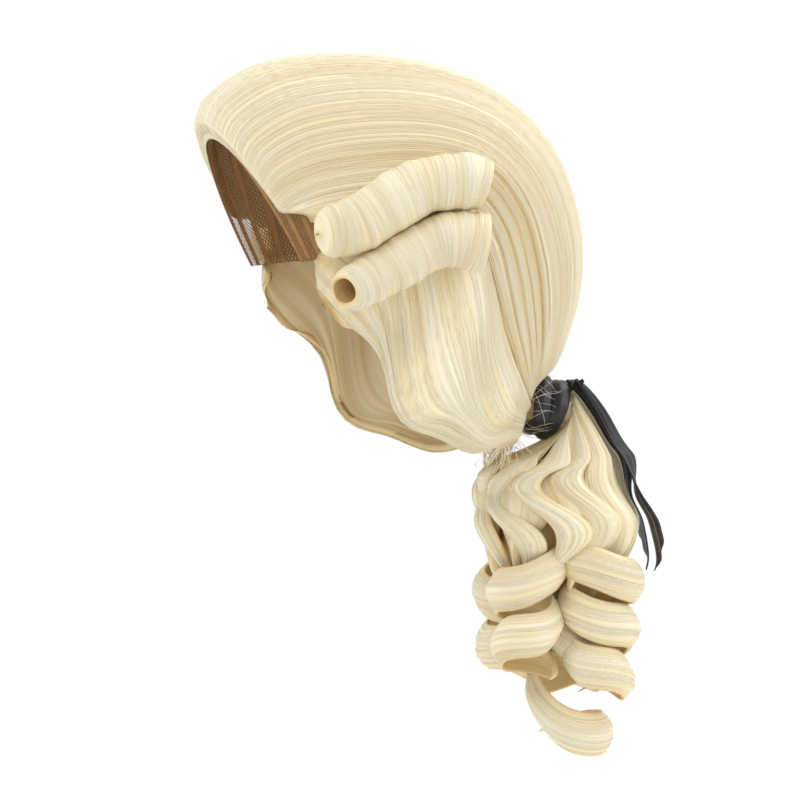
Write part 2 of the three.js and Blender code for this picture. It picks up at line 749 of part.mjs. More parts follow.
function addPair(name, geometry, material) {
  addPiece(name + "_left", geometry, material);
  addPiece(name + "_right", mirrored(geometry), material);
}

addPiece("cap", capGeometry, capMaterial);
addPiece("crown_hair", crownGeometry, hairMaterial);
addPair("side_hair", sideGeometry, hairMaterial);
addPair("roll_upper", upperRoll, hairMaterial);
addPair("roll_lower", lowerRoll, hairMaterial);
const tieBand = addPiece("tie_band", tieGeometry(), ribbonMaterial);
tieBand.position.copy(tieCentre);
tieBand.quaternion.setFromUnitVectors(new THREE.Vector3(0, 1, 0), tieAxis);
addPiece("queue", queueGeometry(), hairMaterial);
addPair("ribbon_tail", ribbonGeometry(), ribbonMaterial);

export default wig;
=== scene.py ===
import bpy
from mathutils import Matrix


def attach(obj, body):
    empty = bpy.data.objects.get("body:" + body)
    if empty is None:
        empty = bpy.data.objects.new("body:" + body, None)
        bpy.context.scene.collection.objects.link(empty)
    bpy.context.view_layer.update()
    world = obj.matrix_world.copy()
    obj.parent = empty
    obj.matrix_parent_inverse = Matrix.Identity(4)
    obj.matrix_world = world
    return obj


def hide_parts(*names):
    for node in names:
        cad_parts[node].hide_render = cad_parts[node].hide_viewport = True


bl_info = {
    "name": "Powdered Wig",
    "version": (1, 0, 0),
    "blender": (4, 5, 0),
    "location": "View3D > Sidebar > Wig",
    "description": "Dresses a powdered wig: combed hair, side rolls, a tied queue and its ribbon",
    "category": "Mesh",
}

import math
from types import SimpleNamespace

import bpy
import numpy as np
from bpy.props import FloatProperty, FloatVectorProperty, IntProperty, PointerProperty
from mathutils.kdtree import KDTree

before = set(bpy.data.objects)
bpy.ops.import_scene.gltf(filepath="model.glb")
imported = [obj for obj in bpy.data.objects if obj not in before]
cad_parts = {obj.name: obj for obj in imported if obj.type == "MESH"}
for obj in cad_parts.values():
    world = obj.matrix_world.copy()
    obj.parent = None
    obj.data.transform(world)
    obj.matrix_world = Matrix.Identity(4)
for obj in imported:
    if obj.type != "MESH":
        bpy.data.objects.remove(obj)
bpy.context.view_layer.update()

MM = 0.001
IMAGE_SIDE = 800
QUARTER = math.pi / 2
SIDES = (("left", 1), ("right", -1))

# On a strand the map holds its tone, from dark to light, and the place along it.
# On a shell of hair it holds the place across and along, and the tone is an attribute.
HAIR_MAP = "OFBake"
TONE = "tone"

# Kept apart from the names of the frame's own flat materials
MATERIAL_PREFIX = "wig_"

# How near two vertices are merged, and the room between the hair and the cap
MERGE_DISTANCE = 0.002 * MM
CAP_ROOM = 0.6 * MM

# How far a strand stands out of its path and sinks into it, as shares of half its width
STRAND_HEIGHT = 0.34
STRAND_FOOT = 0.25

# Waves in radians: the cap's net across and along it, and its sewn bands
NET_MESHES = 300
NET_WEFTS = 120

# Hair sections from the hairline to the tie: highest point, widest point and hem.
# y is a share of the hair's length, z of its drop and x of its half width.
HAIR_COLUMNS = "top_y top_z side_y side_z side_x hem_y hem_z hem_x fall"
HAIR_SECTIONS = [
    (-0.436, -0.158, -0.286, -0.414, 0.833, -0.238, -0.507, 0.857, 1.2),
    (-0.457, -0.118, -0.271, -0.409, 0.863, -0.229, -0.532, 0.887, 1.2),
    (-0.419, -0.049, -0.238, -0.404, 0.899, -0.210, -0.586, 0.917, 1.1),
    (-0.290, 0.027, -0.167, -0.399, 0.940, -0.152, -0.660, 0.952, 1),
    (-0.086, 0.054, -0.057, -0.389, 0.988, -0.067, -0.749, 0.940, 0.95),
    (0.143, 0.027, 0.062, -0.379, 1.000, -0.019, -0.877, 0.881, 0.92),
    (0.329, -0.054, 0.152, -0.404, 0.988, 0.038, -0.946, 0.810, 0.92),
    (0.467, -0.202, 0.210, -0.483, 0.940, 0.114, -0.980, 0.714, 0.92),
    (0.533, -0.394, 0.243, -0.581, 0.869, 0.190, -0.995, 0.595, 0.9),
    (0.536, -0.567, 0.276, -0.680, 0.770, 0.257, -1.000, 0.450, 0.88),
    (0.500, -0.709, 0.324, -0.773, 0.585, 0.319, -1.000, 0.280, 0.88),
    (0.467, -0.783, 0.367, -0.833, 0.360, 0.362, -0.975, 0.119, 0.95),
]

# Cap sections from the hairline to the nape: highest point, rim point and half width
CAP_COLUMNS = "top_y top_z side_y side_z side_x fall"
CAP_SECTIONS = [
    (-0.440, -0.189, -0.268, -0.525, 0.900, 1),
    (-0.398, -0.087, -0.220, -0.520, 0.934, 1),
    (-0.250, -0.018, -0.125, -0.510, 0.974, 0.95),
    (-0.040, 0.000, -0.010, -0.510, 1.000, 0.92),
    (0.175, -0.026, 0.090, -0.530, 1.000, 0.92),
    (0.350, -0.128, 0.165, -0.602, 0.960, 0.92),
    (0.470, -0.306, 0.205, -0.714, 0.870, 0.9),
    (0.485, -0.510, 0.220, -0.827, 0.770, 0.95),
    (0.390, -0.724, 0.225, -0.918, 0.670, 1.05),
    (0.280, -0.969, 0.220, -1.000, 0.600, 1.1),
]

# Combed grooves in the crown: place across, width, depth as a share, first and last section
CROWN_GROOVES = [
    (0.3, 0.1, 0.5, 2, 10),
    (0.58, 0.1, 0.7, 2, 11),
    (0.8, 0.08, 1, 1, 11),
]

# Rolls from front to back: share of the length, then rise, girth and flare as shares of the radius
ROLL_COLUMNS = "along rise girth flare"
ROLL_ROWS = {
    "upper": [
        (0, 0.15, 0.9, 0.2), (0.25, 0.52, 1.03, 0.05), (0.46, 1.3, 1.04, 0),
        (0.64, 1.84, 1.02, 0), (0.9, 1.98, 0.97, 0), (1, 1.84, 0.92, 0),
    ],
    "lower": [
        (0, 0.1, 0.86, 0.5), (0.34, 0.98, 1.03, 0.1), (0.63, 1.95, 1.06, 0),
        (0.8, 2.22, 1.12, 0), (1, 2.08, 1.24, 0),
    ],
}

# Queue body behind the tie: back and drop of its centre, lean in degrees, girth
QUEUE_COLUMNS = "y z lean deep wide"
QUEUE_SECTIONS = [
    (0.21, 0.145, 64, 0.6),
    (0.15, 0.19, 79, 0.83),
    (0.15, 0.25, 88, 0.91),
    (0.2, 0.33, 90, 1),
    (0.22, 0.43, 90, 0.86),
    (0.2, 0.52, 90, 0.56),
    (0.18, 0.58, 90, 0.2),
]

# Locks on the queue's body: angle from its back and span in degrees, first and last section,
# swing to the sides, phase of its wave, lift in millimetres
LOCK_COLUMNS = "angle span first last swing phase lift"
LOCKS = [
    (0, 50, 0.8, 7.9, 0.05, 0.6, 0.3),
    (45, 50, 0.8, 7.6, 0.08, 0.9, 0.3),
    (90, 50, 0.8, 7.2, 0.1, 1.3, 0.0),
    (135, 50, 0.8, 7.4, 0.12, 1.8, 0.4),
    (180, 50, 0.8, 7.5, 0.1, 2.4, 0.2),
    (225, 50, 0.8, 7.4, 0.12, 1.9, 0.4),
    (270, 50, 0.8, 7.2, 0.1, 1.2, 0.0),
    (315, 50, 0.8, 7.7, 0.08, 0.8, 0.3),
    (50, 36, 0.8, 8.3, 0.1, 0.4, 3.6),
    (78, 30, 0.8, 8.3, 0.2, 0.6, 4.8),
    (108, 28, 0.8, 8.1, 0.31, 0.2, 5.4),
    (141, 28, 0.8, 8.3, 0.32, 5.9, 4.4),
    (170, 26, 0.8, 8.1, 0.18, 5.5, 3.6),
    (214, 26, 0.8, 8.2, 0.2, 2.9, 3.8),
    (252, 28, 0.8, 8.1, 0.3, 3.3, 5.0),
    (283, 30, 0.8, 8.3, 0.2, 3.7, 4.6),
    (312, 34, 0.8, 8.3, 0.1, 1.4, 3.4),
]

# Ringlets: axis, top and low end, radius at both, dip of the turns in degrees, turns, start, way
RINGLET_COLUMNS = "side back top low radius end tilt turns start way"
RINGLETS = [
    (0.6, 0.64, 0.41, 0.82, 1.22, 0.9, 6, 3.0, 215, 1),
    (0.62, -0.36, 0.43, 0.76, 1.05, 0.92, 10, 2.3, 150, -1),
    (0.16, 0.3, 0.5, 1, 0.8, 1.22, 36, 2.35, 90, 1),
    (-0.6, 0.58, 0.41, 0.8, 1.15, 0.84, 6, 2.9, 325, -1),
    (-0.62, -0.34, 0.43, 0.77, 1, 0.9, 10, 2.3, 30, 1),
]

# Ribbon tail from the band to the tip: width and extra lift as shares of the width
RIBBON_COLUMNS = "width lift"
RIBBON_ROWS = [(0.4, 0), (0.65, 0.12), (0.95, 0.18), (1, 0.2), (1, 0.42), (0.85, 0.95)]

# Creases behind the rolls: place across, width, first and last section. Each crease is sunk a little and
# lowered in tone, which is painted shade.
CROWN_CREASES = [
    (0.7, 0.007, 6, 10), (0.75, 0.011, 5, 10.5), (0.81, 0.008, 4.5, 10.5), (0.87, 0.011, 5, 11),
    (0.93, 0.008, 6, 11),
]

# Locks in a coat of hair: cells across and along, height in millimetres and change of tone. The tone rises
# and falls with the height, so each lock's valleys carry painted shade and its ridges are paler.
CROWN_LOCKS = [(18, 3, 0.5, 0.05), (64, 4, 0.26, 0.05), (190, 4, 0.1, 0.05)]
SIDE_LOCKS = [(9, 3, 0.7, 0.08), (30, 4, 0.26, 0.1), (90, 5, 0.08, 0.06)]
ROLL_LOCKS = [(9, 2, 0.9, 0.07), (30, 3, 0.4, 0.07), (100, 4, 0.1, 0.06)]
BAND_LOCKS = [(4, 7, 0.55, 0.07), (11, 10, 0.2, 0.07), (26, 12, 0.08, 0.05)]


# Lights: place in metres, side of the square and power in watts
LIGHTS = [
    ("key", (1.3, -1.4, 1.9), 1.6, 29),
    ("fill", (1.3, 2.4, 0.8), 2.0, 27),
    ("back", (-0.5, 1.3, 2.1), 1.8, 26),
    ("front", (-1.2, -2.0, 0.3), 1.8, 12),
]
WORLD_LIGHT = 0.68


def screen_colour(red, green, blue):
    """The linear colour of a screen colour given from 0 to 1."""
    return [c / 12.92 if c <= 0.04045 else ((c + 0.055) / 1.055) ** 2.4 for c in (red, green, blue)]


def length(name, description, millimetres):
    return FloatProperty(
        name=name, description=description, default=millimetres * MM, min=0, unit="LENGTH"
    )


def colour(name, description, red, green, blue):
    return FloatVectorProperty(
        name=name,
        description=description,
        default=screen_colour(red, green, blue),
        min=0,
        max=1,
        size=3,
        subtype="COLOR",
    )


class WigSizes(bpy.types.PropertyGroup):
    """Sizes of the wig's forms"""

    gap: length("Gap", "Clearance between pieces", 0.3)
    cap_length: length("Cap length", "Front to back of the cap", 200)
    cap_drop: length("Cap drop", "Crown to nape of the cap", 196)
    cap_half_width: length("Cap half width", "Half of the cap's width", 76)
    cap_wall: length("Cap wall", "Thickness of the net", 1.2)
    hair_length: length("Hair length", "Front to back of the hair", 210)
    hair_drop: length("Hair drop", "Crown to nape of the hair", 203)
    hair_half_width: length("Hair half width", "Half of the hair's width", 84)
    hairline: length("Hairline", "How far the front edge dips to the cap", 3.2)
    crown_thickness: length("Crown thickness", "Thickness of the hair over the crown", 7.5)
    side_thickness: length("Side thickness", "Thickness of the hair at the sides", 4)
    side_wave: length("Side wave", "Height of the waves in the side hair", 2.2)
    groove: length("Groove", "Depth of the deepest combed groove", 1.6)
    roll_wall: length("Roll wall", "Thickness of a roll's wall", 5)
    upper_radius: length("Upper roll radius", "Radius of the upper rolls", 15.5)
    upper_length: length("Upper roll length", "Length of the upper rolls", 91)
    lower_radius: length("Lower roll radius", "Radius of the lower rolls", 13.5)
    lower_length: length("Lower roll length", "Length of the lower rolls", 80)
    tie_back: length("Tie back", "How far behind the crown the tie sits", 94.5)
    tie_drop: length("Tie drop", "How far below the crown the tie sits", 180)
    tie_length: length("Tie length", "Length of the band along the hair", 20)
    tie_bore: length("Tie bore", "Radius inside the band", 12.2)
    tie_wall: length("Tie wall", "Thickness of the band", 3.2)
    queue_length: length("Queue length", "Length of the queue below the tie", 190)
    queue_half_depth: length("Queue half depth", "Half of the queue's depth", 41)
    queue_half_width: length("Queue half width", "Half of the queue's width", 34)
    queue_core: length("Queue core", "How deep the hair under the locks lies", 6)
    lock_thickness: length("Lock thickness", "Thickness of a lock on the queue", 6)
    lock_wave: length("Lock wave", "Height of the waves in the queue's locks", 2.4)
    ringlet_radius: length("Ringlet radius", "Radius of a plain ringlet", 20)
    ringlet_wall: length("Ringlet wall", "Thickness of a ringlet's band", 5)
    ringlet_band: length("Ringlet band", "Width of a ringlet's band", 24)
    ribbon_width: length("Ribbon width", "Width of the ribbon", 20)
    ribbon_length: length("Ribbon length", "Length of each free end", 114)
    ribbon_thickness: length("Ribbon thickness", "Thickness of the satin", 0.6)
    ribbon_lift: length("Ribbon lift", "Height of the ribbon over the queue", 4.8)
    strand: length("Strand", "Width of a combed strand", 0.8)
    stray: length("Stray", "Width of a stray hair", 0.18)


class WigColours(bpy.types.PropertyGroup):
    """Colours of the hair, the net and the satin"""

    # The hair's ramp runs from shade to light. Its dark end is painted shade in valleys, hollows and
    # insides; its pale end is the palest strands and the painted light on ridges.
    shade: colour("Shade", "Hair deep between the locks", 0.70, 0.55, 0.33)
    gold: colour("Gold", "Hair on the shaded side of a lock", 0.86, 0.755, 0.54)
    cream: colour("Cream", "Most of the hair", 0.93, 0.875, 0.725)
    light: colour("Light", "The palest strands", 0.985, 0.965, 0.88)
    net: colour("Net", "Threads of the cap", 0.60, 0.45, 0.28)
    satin: colour("Satin", "The ribbon", 0.055, 0.07, 0.11)
    floor: colour("Floor", "Floor of the studio", 0.95, 0.95, 0.94)


class WigStudio(bpy.types.PropertyGroup):
    """Camera, floor and light"""

    turn: FloatProperty(
        name="Turn", description="How far the camera is turned towards the face",
        default=math.radians(12), subtype="ANGLE",
    )
    distance: length("Distance", "From the camera to the wig", 4500)
    pixel: length("Pixel", "Width of a pixel of the picture at the wig", 0.54)
    centre_back: length("Centre back", "How far behind the origin the picture's centre is", 14.9)
    centre_drop: length("Centre drop", "How far below the origin the picture's centre is", 176)
    floor_drop: length("Floor drop", "How far below the origin the floor is", 500)
    floor_side: length("Floor side", "Side of the square floor", 3200)
    seed: IntProperty(name="Seed", description="Start of the random draws", default=7)


def lerp(a, b, share):
    return a + (b - a) * share


def smooth_step(start, end, value):
    t = np.clip((value - start) / (end - start), 0, 1)
    return t * t * (3 - 2 * t)


def unit(vectors):
    return vectors / np.maximum(np.linalg.norm(vectors, axis=-1, keepdims=True), 1e-12)


def points_of(*parts):
    """Points or map places from their parts."""
    return np.stack(np.broadcast_arrays(*parts), -1)


def share_column(count):
    """Shares from 0 to 1, one to a row."""
    return np.linspace(0, 1, count)[:, None]


def share_row(count):
    """Shares from 0 to 1, one to a column."""
    return np.linspace(0, 1, count)[None, :]


def named(columns, row):
    return SimpleNamespace(**dict(zip(columns.split(), row)))


class Sections:
    """Rows of named columns, read on a smooth curve through them"""

    def __init__(self, columns, rows):
        self.columns = columns.split()
        self.rows = np.array(rows, float)

    def at(self, place):
        place = np.asarray(place, float)
        last = len(self.rows) - 1
        base = np.clip(np.floor(place).astype(int), 0, last - 1)
        t = (place - base)[..., None]
        before, start, end, after = (
            self.rows[np.clip(base + step, 0, last)] for step in (-1, 0, 1, 2)
        )
        leave = (end - before) / 2
        arrive = (after - start) / 2
        rise = end - start
        found = start + t * leave + t * t * (3 * rise - 2 * leave - arrive)
        found = found + t * t * t * (leave + arrive - 2 * rise)
        return SimpleNamespace(**{name: found[..., i] for i, name in enumerate(self.columns)})


class WigForm:
    """The wig's surfaces, each a function of places in its tables"""

    WAVES = 4
    TIE_TILT = math.radians(17)
    RIBBON_SPREAD = math.radians(21)
    ROLL_FLAT = 0.7
    ROLL_STATIONS = 13
    ROLL_SIDES = 10

    def __init__(self, sizes):
        self.sizes = s = sizes
        tilt = self.TIE_TILT
        self.tie_axis = np.array([0, math.cos(tilt), -math.sin(tilt)])
        self.tie_up = np.array([0, math.sin(tilt), math.cos(tilt)])
        self.tie_centre = np.array([0, s.tie_back, -s.tie_drop])
        reach = self.tie_axis * (s.tie_length / 2 + s.gap)
        front, rear = self.tie_centre - reach, self.tie_centre + reach
        gather = s.tie_bore + s.tie_wall / 2
        top, hem = front + gather * self.tie_up, front - gather * self.tie_up
        tie_row = (top[1], top[2], front[1], front[2], gather, hem[1], hem[2], s.gap, 1)
        y, z, x = s.hair_length, s.hair_drop, s.hair_half_width
        scale = (y, z, y, z, x, y, z, x, 1)
        rows = [np.multiply(row, scale) for row in HAIR_SECTIONS] + [tie_row]
        self.hair = Sections(HAIR_COLUMNS, rows)
        self.last = len(rows) - 1
        y, z, x = s.cap_length, s.cap_drop, s.cap_half_width
        rows = [np.multiply(row, (y, z, y, z, x, 1)) for row in CAP_SECTIONS]
        self.cap = Sections(CAP_COLUMNS, rows)
        bundle = s.tie_bore - s.gap
        spread = rear + self.tie_axis * s.tie_wall
        lean = math.degrees(tilt)
        rows = [(p[1], p[2], lean, bundle, bundle) for p in (front, rear, spread)]
        deep, wide, down = s.queue_half_depth, s.queue_half_width, s.queue_length
        rows += [
            (s.tie_back + back * deep, -s.tie_drop - drop * down, lean, girth * deep, girth * wide)
            for back, drop, lean, girth in QUEUE_SECTIONS
        ]
        self.queue = Sections(QUEUE_COLUMNS, rows)
        self.queue_last = len(rows) - 1
        self.rolls = {}

    def arch(self, table, place, across, depth):
        row = table.at(place)
        angle = across * QUARTER
        height = np.hypot(row.top_y - row.side_y, row.top_z - row.side_z)
        rise = np.maximum(0, np.cos(angle)) ** row.fall * (1 - depth / height)
        return points_of(
            (row.side_x - depth) * np.sin(angle),
            lerp(row.side_y, row.top_y, rise),
            lerp(row.side_z, row.top_z, rise),
        )

    def cap_point(self, place, across, lift=0.0):
        return self.arch(self.cap, place, across, -lift)

    def groove_depth(self, place, across):
        depth = 0
        for at, width, share, first, last in CROWN_GROOVES:
            offset = (np.abs(across) - at) / width
            fade = smooth_step(first - 1, first + 1, place)
            end = 1 - smooth_step(last - 1, last + 1, place)
            depth = depth + share * np.exp(-offset * offset) * fade * end
        return depth

    def crown_point(self, place, across, lift=0.0):
        place, across = np.asarray(place, float), np.asarray(across, float)
        depth = self.sizes.groove * self.groove_depth(place, across) - lift
        return self.arch(self.hair, place, across, depth)

    def side_base(self, place, down):
        row = self.hair.at(place)
        angle = down * QUARTER
        run = np.hypot(row.hem_y - row.side_y, row.hem_z - row.side_z)
        share = np.sin(angle) + self.sizes.gap / run * (1 - down)
        return points_of(
            lerp(row.hem_x, row.side_x, np.cos(angle)),
            lerp(row.side_y, row.hem_y, share),
            lerp(row.side_z, row.hem_z, share),
        )

    def side_point(self, place, down, lift=0.0):
        place, down = np.asarray(place, float), np.asarray(down, float)
        step = 0.05
        ahead = self.side_base(np.minimum(place + step, self.last), down)
        behind = self.side_base(np.maximum(place - step, 0), down)
        below = self.side_base(place, np.minimum(down + step, 1))
        above = self.side_base(place, np.maximum(down - step, -0.2))
        normal = unit(np.cross(below - above, ahead - behind))
        share = place / self.last
        fade = smooth_step(0, 0.3, down) * (1 - smooth_step(0.85, 1, share))
        wave = self.sizes.side_wave * np.sin(2 * math.pi * (self.WAVES * share + 0.5 * down)) * fade
        return self.side_base(place, down) + normal * (wave + lift)[..., None]

    def hair_samples(self):
        place = np.linspace(0, self.last, 97)[:, None]
        across = share_row(73)
        crown = self.crown_point(place, across).reshape(-1, 3)
        side = self.side_point(place, share_row(25)).reshape(-1, 3)
        return np.concatenate([crown, side])

    def roll_axis(self, which):
        """The roll's stations: centre and radius, worked out once."""
        if which in self.rolls:
            return self.rolls[which]
        s = self.sizes
        radius, run, start_y, start_z = {
            "upper": (s.upper_radius, s.upper_length, -50 * MM, -91 * MM),
            "lower": (s.lower_radius, s.lower_length, -40 * MM, -121 * MM),
        }[which]
        rows = np.array(ROLL_ROWS[which], float)
        along = np.linspace(0, 1, self.ROLL_STATIONS)
        found = Sections(ROLL_COLUMNS, rows).at(np.interp(along, rows[:, 0], np.arange(len(rows))))
        y = start_y + along * run
        z = start_z + found.rise * radius
        samples = self.hair_samples()
        x = []
        for here_y, here_z, girth, flare in zip(y, z, found.girth, found.flare):
            away = np.hypot(samples[:, 1] - here_y, samples[:, 2] - here_z)
            reach = samples[away < radius * girth, 0].max()
            flat = self.ROLL_FLAT * radius * girth * math.cos(math.pi / self.ROLL_SIDES)
            x.append(reach + s.gap + flat + flare * radius)
        table = Sections("x y z radius", np.stack([x, y, z, radius * found.girth], 1))
        self.rolls[which] = table
        return table

    def roll_point(self, which, along, angle, lift=0.0):
        table = self.roll_axis(which)
        place = np.asarray(along, float) * (self.ROLL_STATIONS - 1)
        last = self.ROLL_STATIONS - 1
        here, after = table.at(place), table.at(np.clip(place + 0.2, 0.4, last))
        before = table.at(np.clip(place - 0.2, 0, last - 0.4))
        run = unit(points_of(0, after.y - before.y, after.z - before.z))
        up = points_of(0, -run[..., 2], run[..., 1])
        radius = np.maximum(here.radius + lift - 0.5 * MM, 0.15 * MM)
        flat = np.where(np.cos(angle) < 0, self.ROLL_FLAT, 1)
        centre = points_of(here.x, here.y, here.z)
        out = points_of(1, 0, 0) * (radius * np.cos(angle) * flat)[..., None]
        return centre + out + up * (radius * np.sin(angle))[..., None]

    def queue_point(self, place, angle, lift=0.0):
        row = self.queue.at(place)
        lean = np.radians(row.lean)
        back = points_of(0, np.sin(lean), np.cos(lean))
        deep, wide = row.deep + lift, row.wide + lift
        out = points_of(wide * np.sin(angle), 0, 0)
        return points_of(0, row.y, row.z) + back * (deep * np.cos(angle))[..., None] + out

    def ringlet_point(self, ring, share, across, out):
        """A point on a ringlet's band: across from its upper to its lower edge, out from its middle."""
        s = self.sizes
        angle = math.radians(ring.start) + ring.way * share * ring.turns * 2 * math.pi
        root = smooth_step(-0.12, 0.12, share)
        tip = lerp(1, 0.3, smooth_step(0.84, 1, share))
        waver = 1 + 0.035 * np.sin(1.7 * angle + ring.start)
        middle = s.ringlet_radius * lerp(ring.radius, ring.end, share) * waver - s.ringlet_wall / 2
        drift = 1.3 * MM * np.sin(2.3 * angle + ring.start)
        z = -s.tie_drop - lerp(ring.top, ring.low, share) * s.queue_length + drift
        radius = middle + out
        aside = radius * np.cos(angle)
        dip = math.tan(math.radians(ring.tilt)) * math.copysign(1, ring.side)
        return points_of(
            ring.side * s.queue_half_width + aside,
            s.tie_back + ring.back * s.queue_half_depth + radius * np.sin(angle),
            z - dip * share * aside + across * root * tip * s.ringlet_band / 2,
        )


class Relief:
    """Smooth random heights from -1 to 1 over a square, in cells across and along"""

    def __init__(self, rng, across, along, closed=False):
        self.marks = rng.uniform(-1, 1, (across + 1, along + 1))
        if closed:
            self.marks[:, -1] = self.marks[:, 0]

    def at(self, u, v):
        rows, columns = self.marks.shape
        x = np.clip(u, 0, 1) * (rows - 1)
        y = np.clip(v, 0, 1) * (columns - 1)
        i = np.minimum(np.asarray(x).astype(int), rows - 2)
        j = np.minimum(np.asarray(y).astype(int), columns - 2)
        s, t = smooth_step(0, 1, x - i), smooth_step(0, 1, y - j)
        low = lerp(self.marks[i, j], self.marks[i, j + 1], t)
        high = lerp(self.marks[i + 1, j], self.marks[i + 1, j + 1], t)
        return lerp(low, high, s)


class Coat:
    """Hair laid on a surface. Its shell and its strands share one set of locks."""

    def __init__(self, rng, surface, tone, locks, closed=False):
        self.surface = surface
        self.level = tone
        self.locks = [
            (height * MM, shade, Relief(rng, across, along, closed))
            for across, along, height, shade in locks
        ]

    def height(self, u, v):
        return sum(height * relief.at(u, v) for height, _, relief in self.locks)

    def tone(self, u, v):
        level = self.level(u, v) if callable(self.level) else self.level
        # Each lock lowers the tone in its valleys and raises it on its ridges: painted shade.
        return level + sum(shade * relief.at(u, v) for _, shade, relief in self.locks)

    def place(self, u, v, lift=0.0):
        return self.surface(u, v, lift + self.height(u, v))

    def laid(self, u, v, lift):
        """Paths on the coat and the directions that point out of it."""
        step = 0.004
        paths = self.place(u, v, lift)
        a = self.surface(u + step, v, lift) - self.surface(u - step, v, lift)
        b = self.surface(u, v + step, lift) - self.surface(u, v - step, lift)
        normals = unit(np.cross(a, b))
        out = self.surface(u, v, lift + 0.5 * MM) - self.surface(u, v, lift)
        return paths, normals * np.sign(np.sum(normals * out, -1, keepdims=True))


class Socket:
    """A node's output that works with the signs for sums and products"""

    def __init__(self, shader, output):
        self.shader = shader
        self.output = output

    def __add__(self, other):
        return self.shader.math("ADD", self, other)

    __radd__ = __add__

    def __mul__(self, other):
        return self.shader.math("MULTIPLY", self, other)

    __rmul__ = __mul__

    def __sub__(self, other):
        return self.shader.math("SUBTRACT", self, other)

    def __rsub__(self, other):
        return self.shader.math("SUBTRACT", other, self)

    def __lt__(self, other):
        return self.shader.math("LESS_THAN", self, other)


class Shader:
    """A material's nodes, added one call each"""

    def __init__(self, name):
        self.material = bpy.data.materials.new(MATERIAL_PREFIX + name)
        self.material.use_nodes = True
        self.tree = self.material.node_tree
        self.surface = self.tree.nodes["Principled BSDF"]

    def put(self, socket, value):
        if isinstance(value, Socket):
            self.tree.links.new(value.output, socket)
        else:
            socket.default_value = value

    def node(self, kind, settings=None, values=None, output=0):
        made = self.tree.nodes.new(kind)
        for name, value in (settings or {}).items():
            if name == "stops":
                self.set_stops(made.color_ramp, value)
            else:
                setattr(made, name, value)
        for name, value in (values or {}).items():
            self.put(made.inputs[name], value)
        return Socket(self, made.outputs[output])

    def math(self, operation, first, second):
        return self.node("ShaderNodeMath", {"operation": operation}, {0: first, 1: second})

    def set_stops(self, ramp, stops):
        while len(ramp.elements) < len(stops):
            ramp.elements.new(0.5)
        for element, (at, shade) in zip(ramp.elements, stops):
            element.position = at
            element.color = (*shade, 1)

    def streaks(self, across, along, detail=2):
        """Noise drawn out along the hair, for a map that holds the places across and along."""
        spot = self.node("ShaderNodeUVMap", {"uv_map": HAIR_MAP})
        drawn = self.node("ShaderNodeMapping", values={"Vector": spot, "Scale": (across, along, 1)})
        return self.node("ShaderNodeTexNoise", values={"Vector": drawn, "Scale": 1, "Detail": detail})

    def finish(self, **values):
        for name, value in values.items():
            self.put(self.surface.inputs[name.replace("_", " ").title()], value)
        return self.material


def hair_tint(shader, colours, tone):
    """The hair's colour for a tone, with the soft light that passes through pale hair."""
    stops = [(0, colours.shade), (0.3, colours.gold), (0.62, colours.cream), (0.95, colours.light)]
    surface = shader.surface.inputs
    surface["Specular IOR Level"].default_value = 0.35
    surface["Subsurface Weight"].default_value = 0.25
    surface["Subsurface Radius"].default_value = (1, 0.72, 0.36)
    surface["Subsurface Scale"].default_value = 2.2 * MM
    return shader.node("ShaderNodeValToRGB", {"stops": stops}, {0: tone})


def strand_material(colours):
    """Single strands, their tone taken from their own map."""
    shader = Shader("strand")
    spot = shader.node("ShaderNodeUVMap", {"uv_map": HAIR_MAP})
    tone = shader.node("ShaderNodeSeparateXYZ", values={0: spot})
    return shader.finish(base_color=hair_tint(shader, colours, tone), roughness=0.52 - 0.1 * tone)


def combed_material(colours, name, span, run):
    """Combed hair over a span across and a run along: locks in its tone, fine streaks over them."""
    shader = Shader(name)
    tone = shader.node("ShaderNodeAttribute", {"attribute_name": TONE}, output="Fac")
    wide = shader.streaks(span / 1.8, run / 130)
    fine = shader.streaks(span / 0.6, run / 110, 3)
    tone = tone + 0.26 * (wide - 0.5) + 0.34 * (fine - 0.5)
    bump = shader.node(
        "ShaderNodeBump",
        values={"Height": 0.6 * wide + 0.4 * fine, "Strength": 0.16, "Distance": 0.3 * MM},
    )
    tint = hair_tint(shader, colours, tone)
    return shader.finish(base_color=tint, roughness=0.54 - 0.1 * tone, normal=bump)


def net_material(colours):
    """Brown net with open diamond meshes, and bands across it that the hair is sewn to."""
    shader = Shader("net")
    spot = shader.node("ShaderNodeUVMap", {"uv_map": HAIR_MAP})
    across = NET_MESHES * shader.node("ShaderNodeSeparateXYZ", values={0: spot})
    rows = shader.node("ShaderNodeSeparateXYZ", values={0: spot}, output=1)
    along = NET_MESHES * rows
    threads = [
        shader.math("ABSOLUTE", shader.math("SINE", slant, 0), 0)
        for slant in (across + along, across - along)
    ]
    wefts = shader.math("GREATER_THAN", shader.math("SINE", NET_WEFTS * rows, 0), 0.55)
    thread = shader.math("MAXIMUM", shader.math("MINIMUM", *threads) < 0.34, wefts)
    tint = shader.node("ShaderNodeTexNoise", values={"Vector": spot, "Scale": 60, "Detail": 3})
    stops = [(0.3, [c * 0.9 for c in colours.net]), (0.7, [c * 1.25 for c in colours.net])]
    shade = shader.node("ShaderNodeValToRGB", {"stops": stops}, {0: tint})
    return shader.finish(base_color=shade, roughness=0.85, alpha=thread)


def satin_material(colours):
    """Black satin: fine threads along the ribbon and a soft sheen."""
    shader = Shader("satin")
    weave = shader.streaks(60, 900)
    stops = [(0.3, [c * 0.4 for c in colours.satin]), (0.75, [c * 1.1 for c in colours.satin])]
    tint = shader.node("ShaderNodeValToRGB", {"stops": stops}, {0: weave})
    bump = shader.node(
        "ShaderNodeBump", values={"Height": weave, "Strength": 0.25, "Distance": 0.2 * MM}
    )
    shader.surface.inputs["Sheen Weight"].default_value = 0.06
    shader.surface.inputs["Specular IOR Level"].default_value = 0.5
    return shader.finish(base_color=tint, roughness=0.5 - 0.2 * weave, normal=bump)


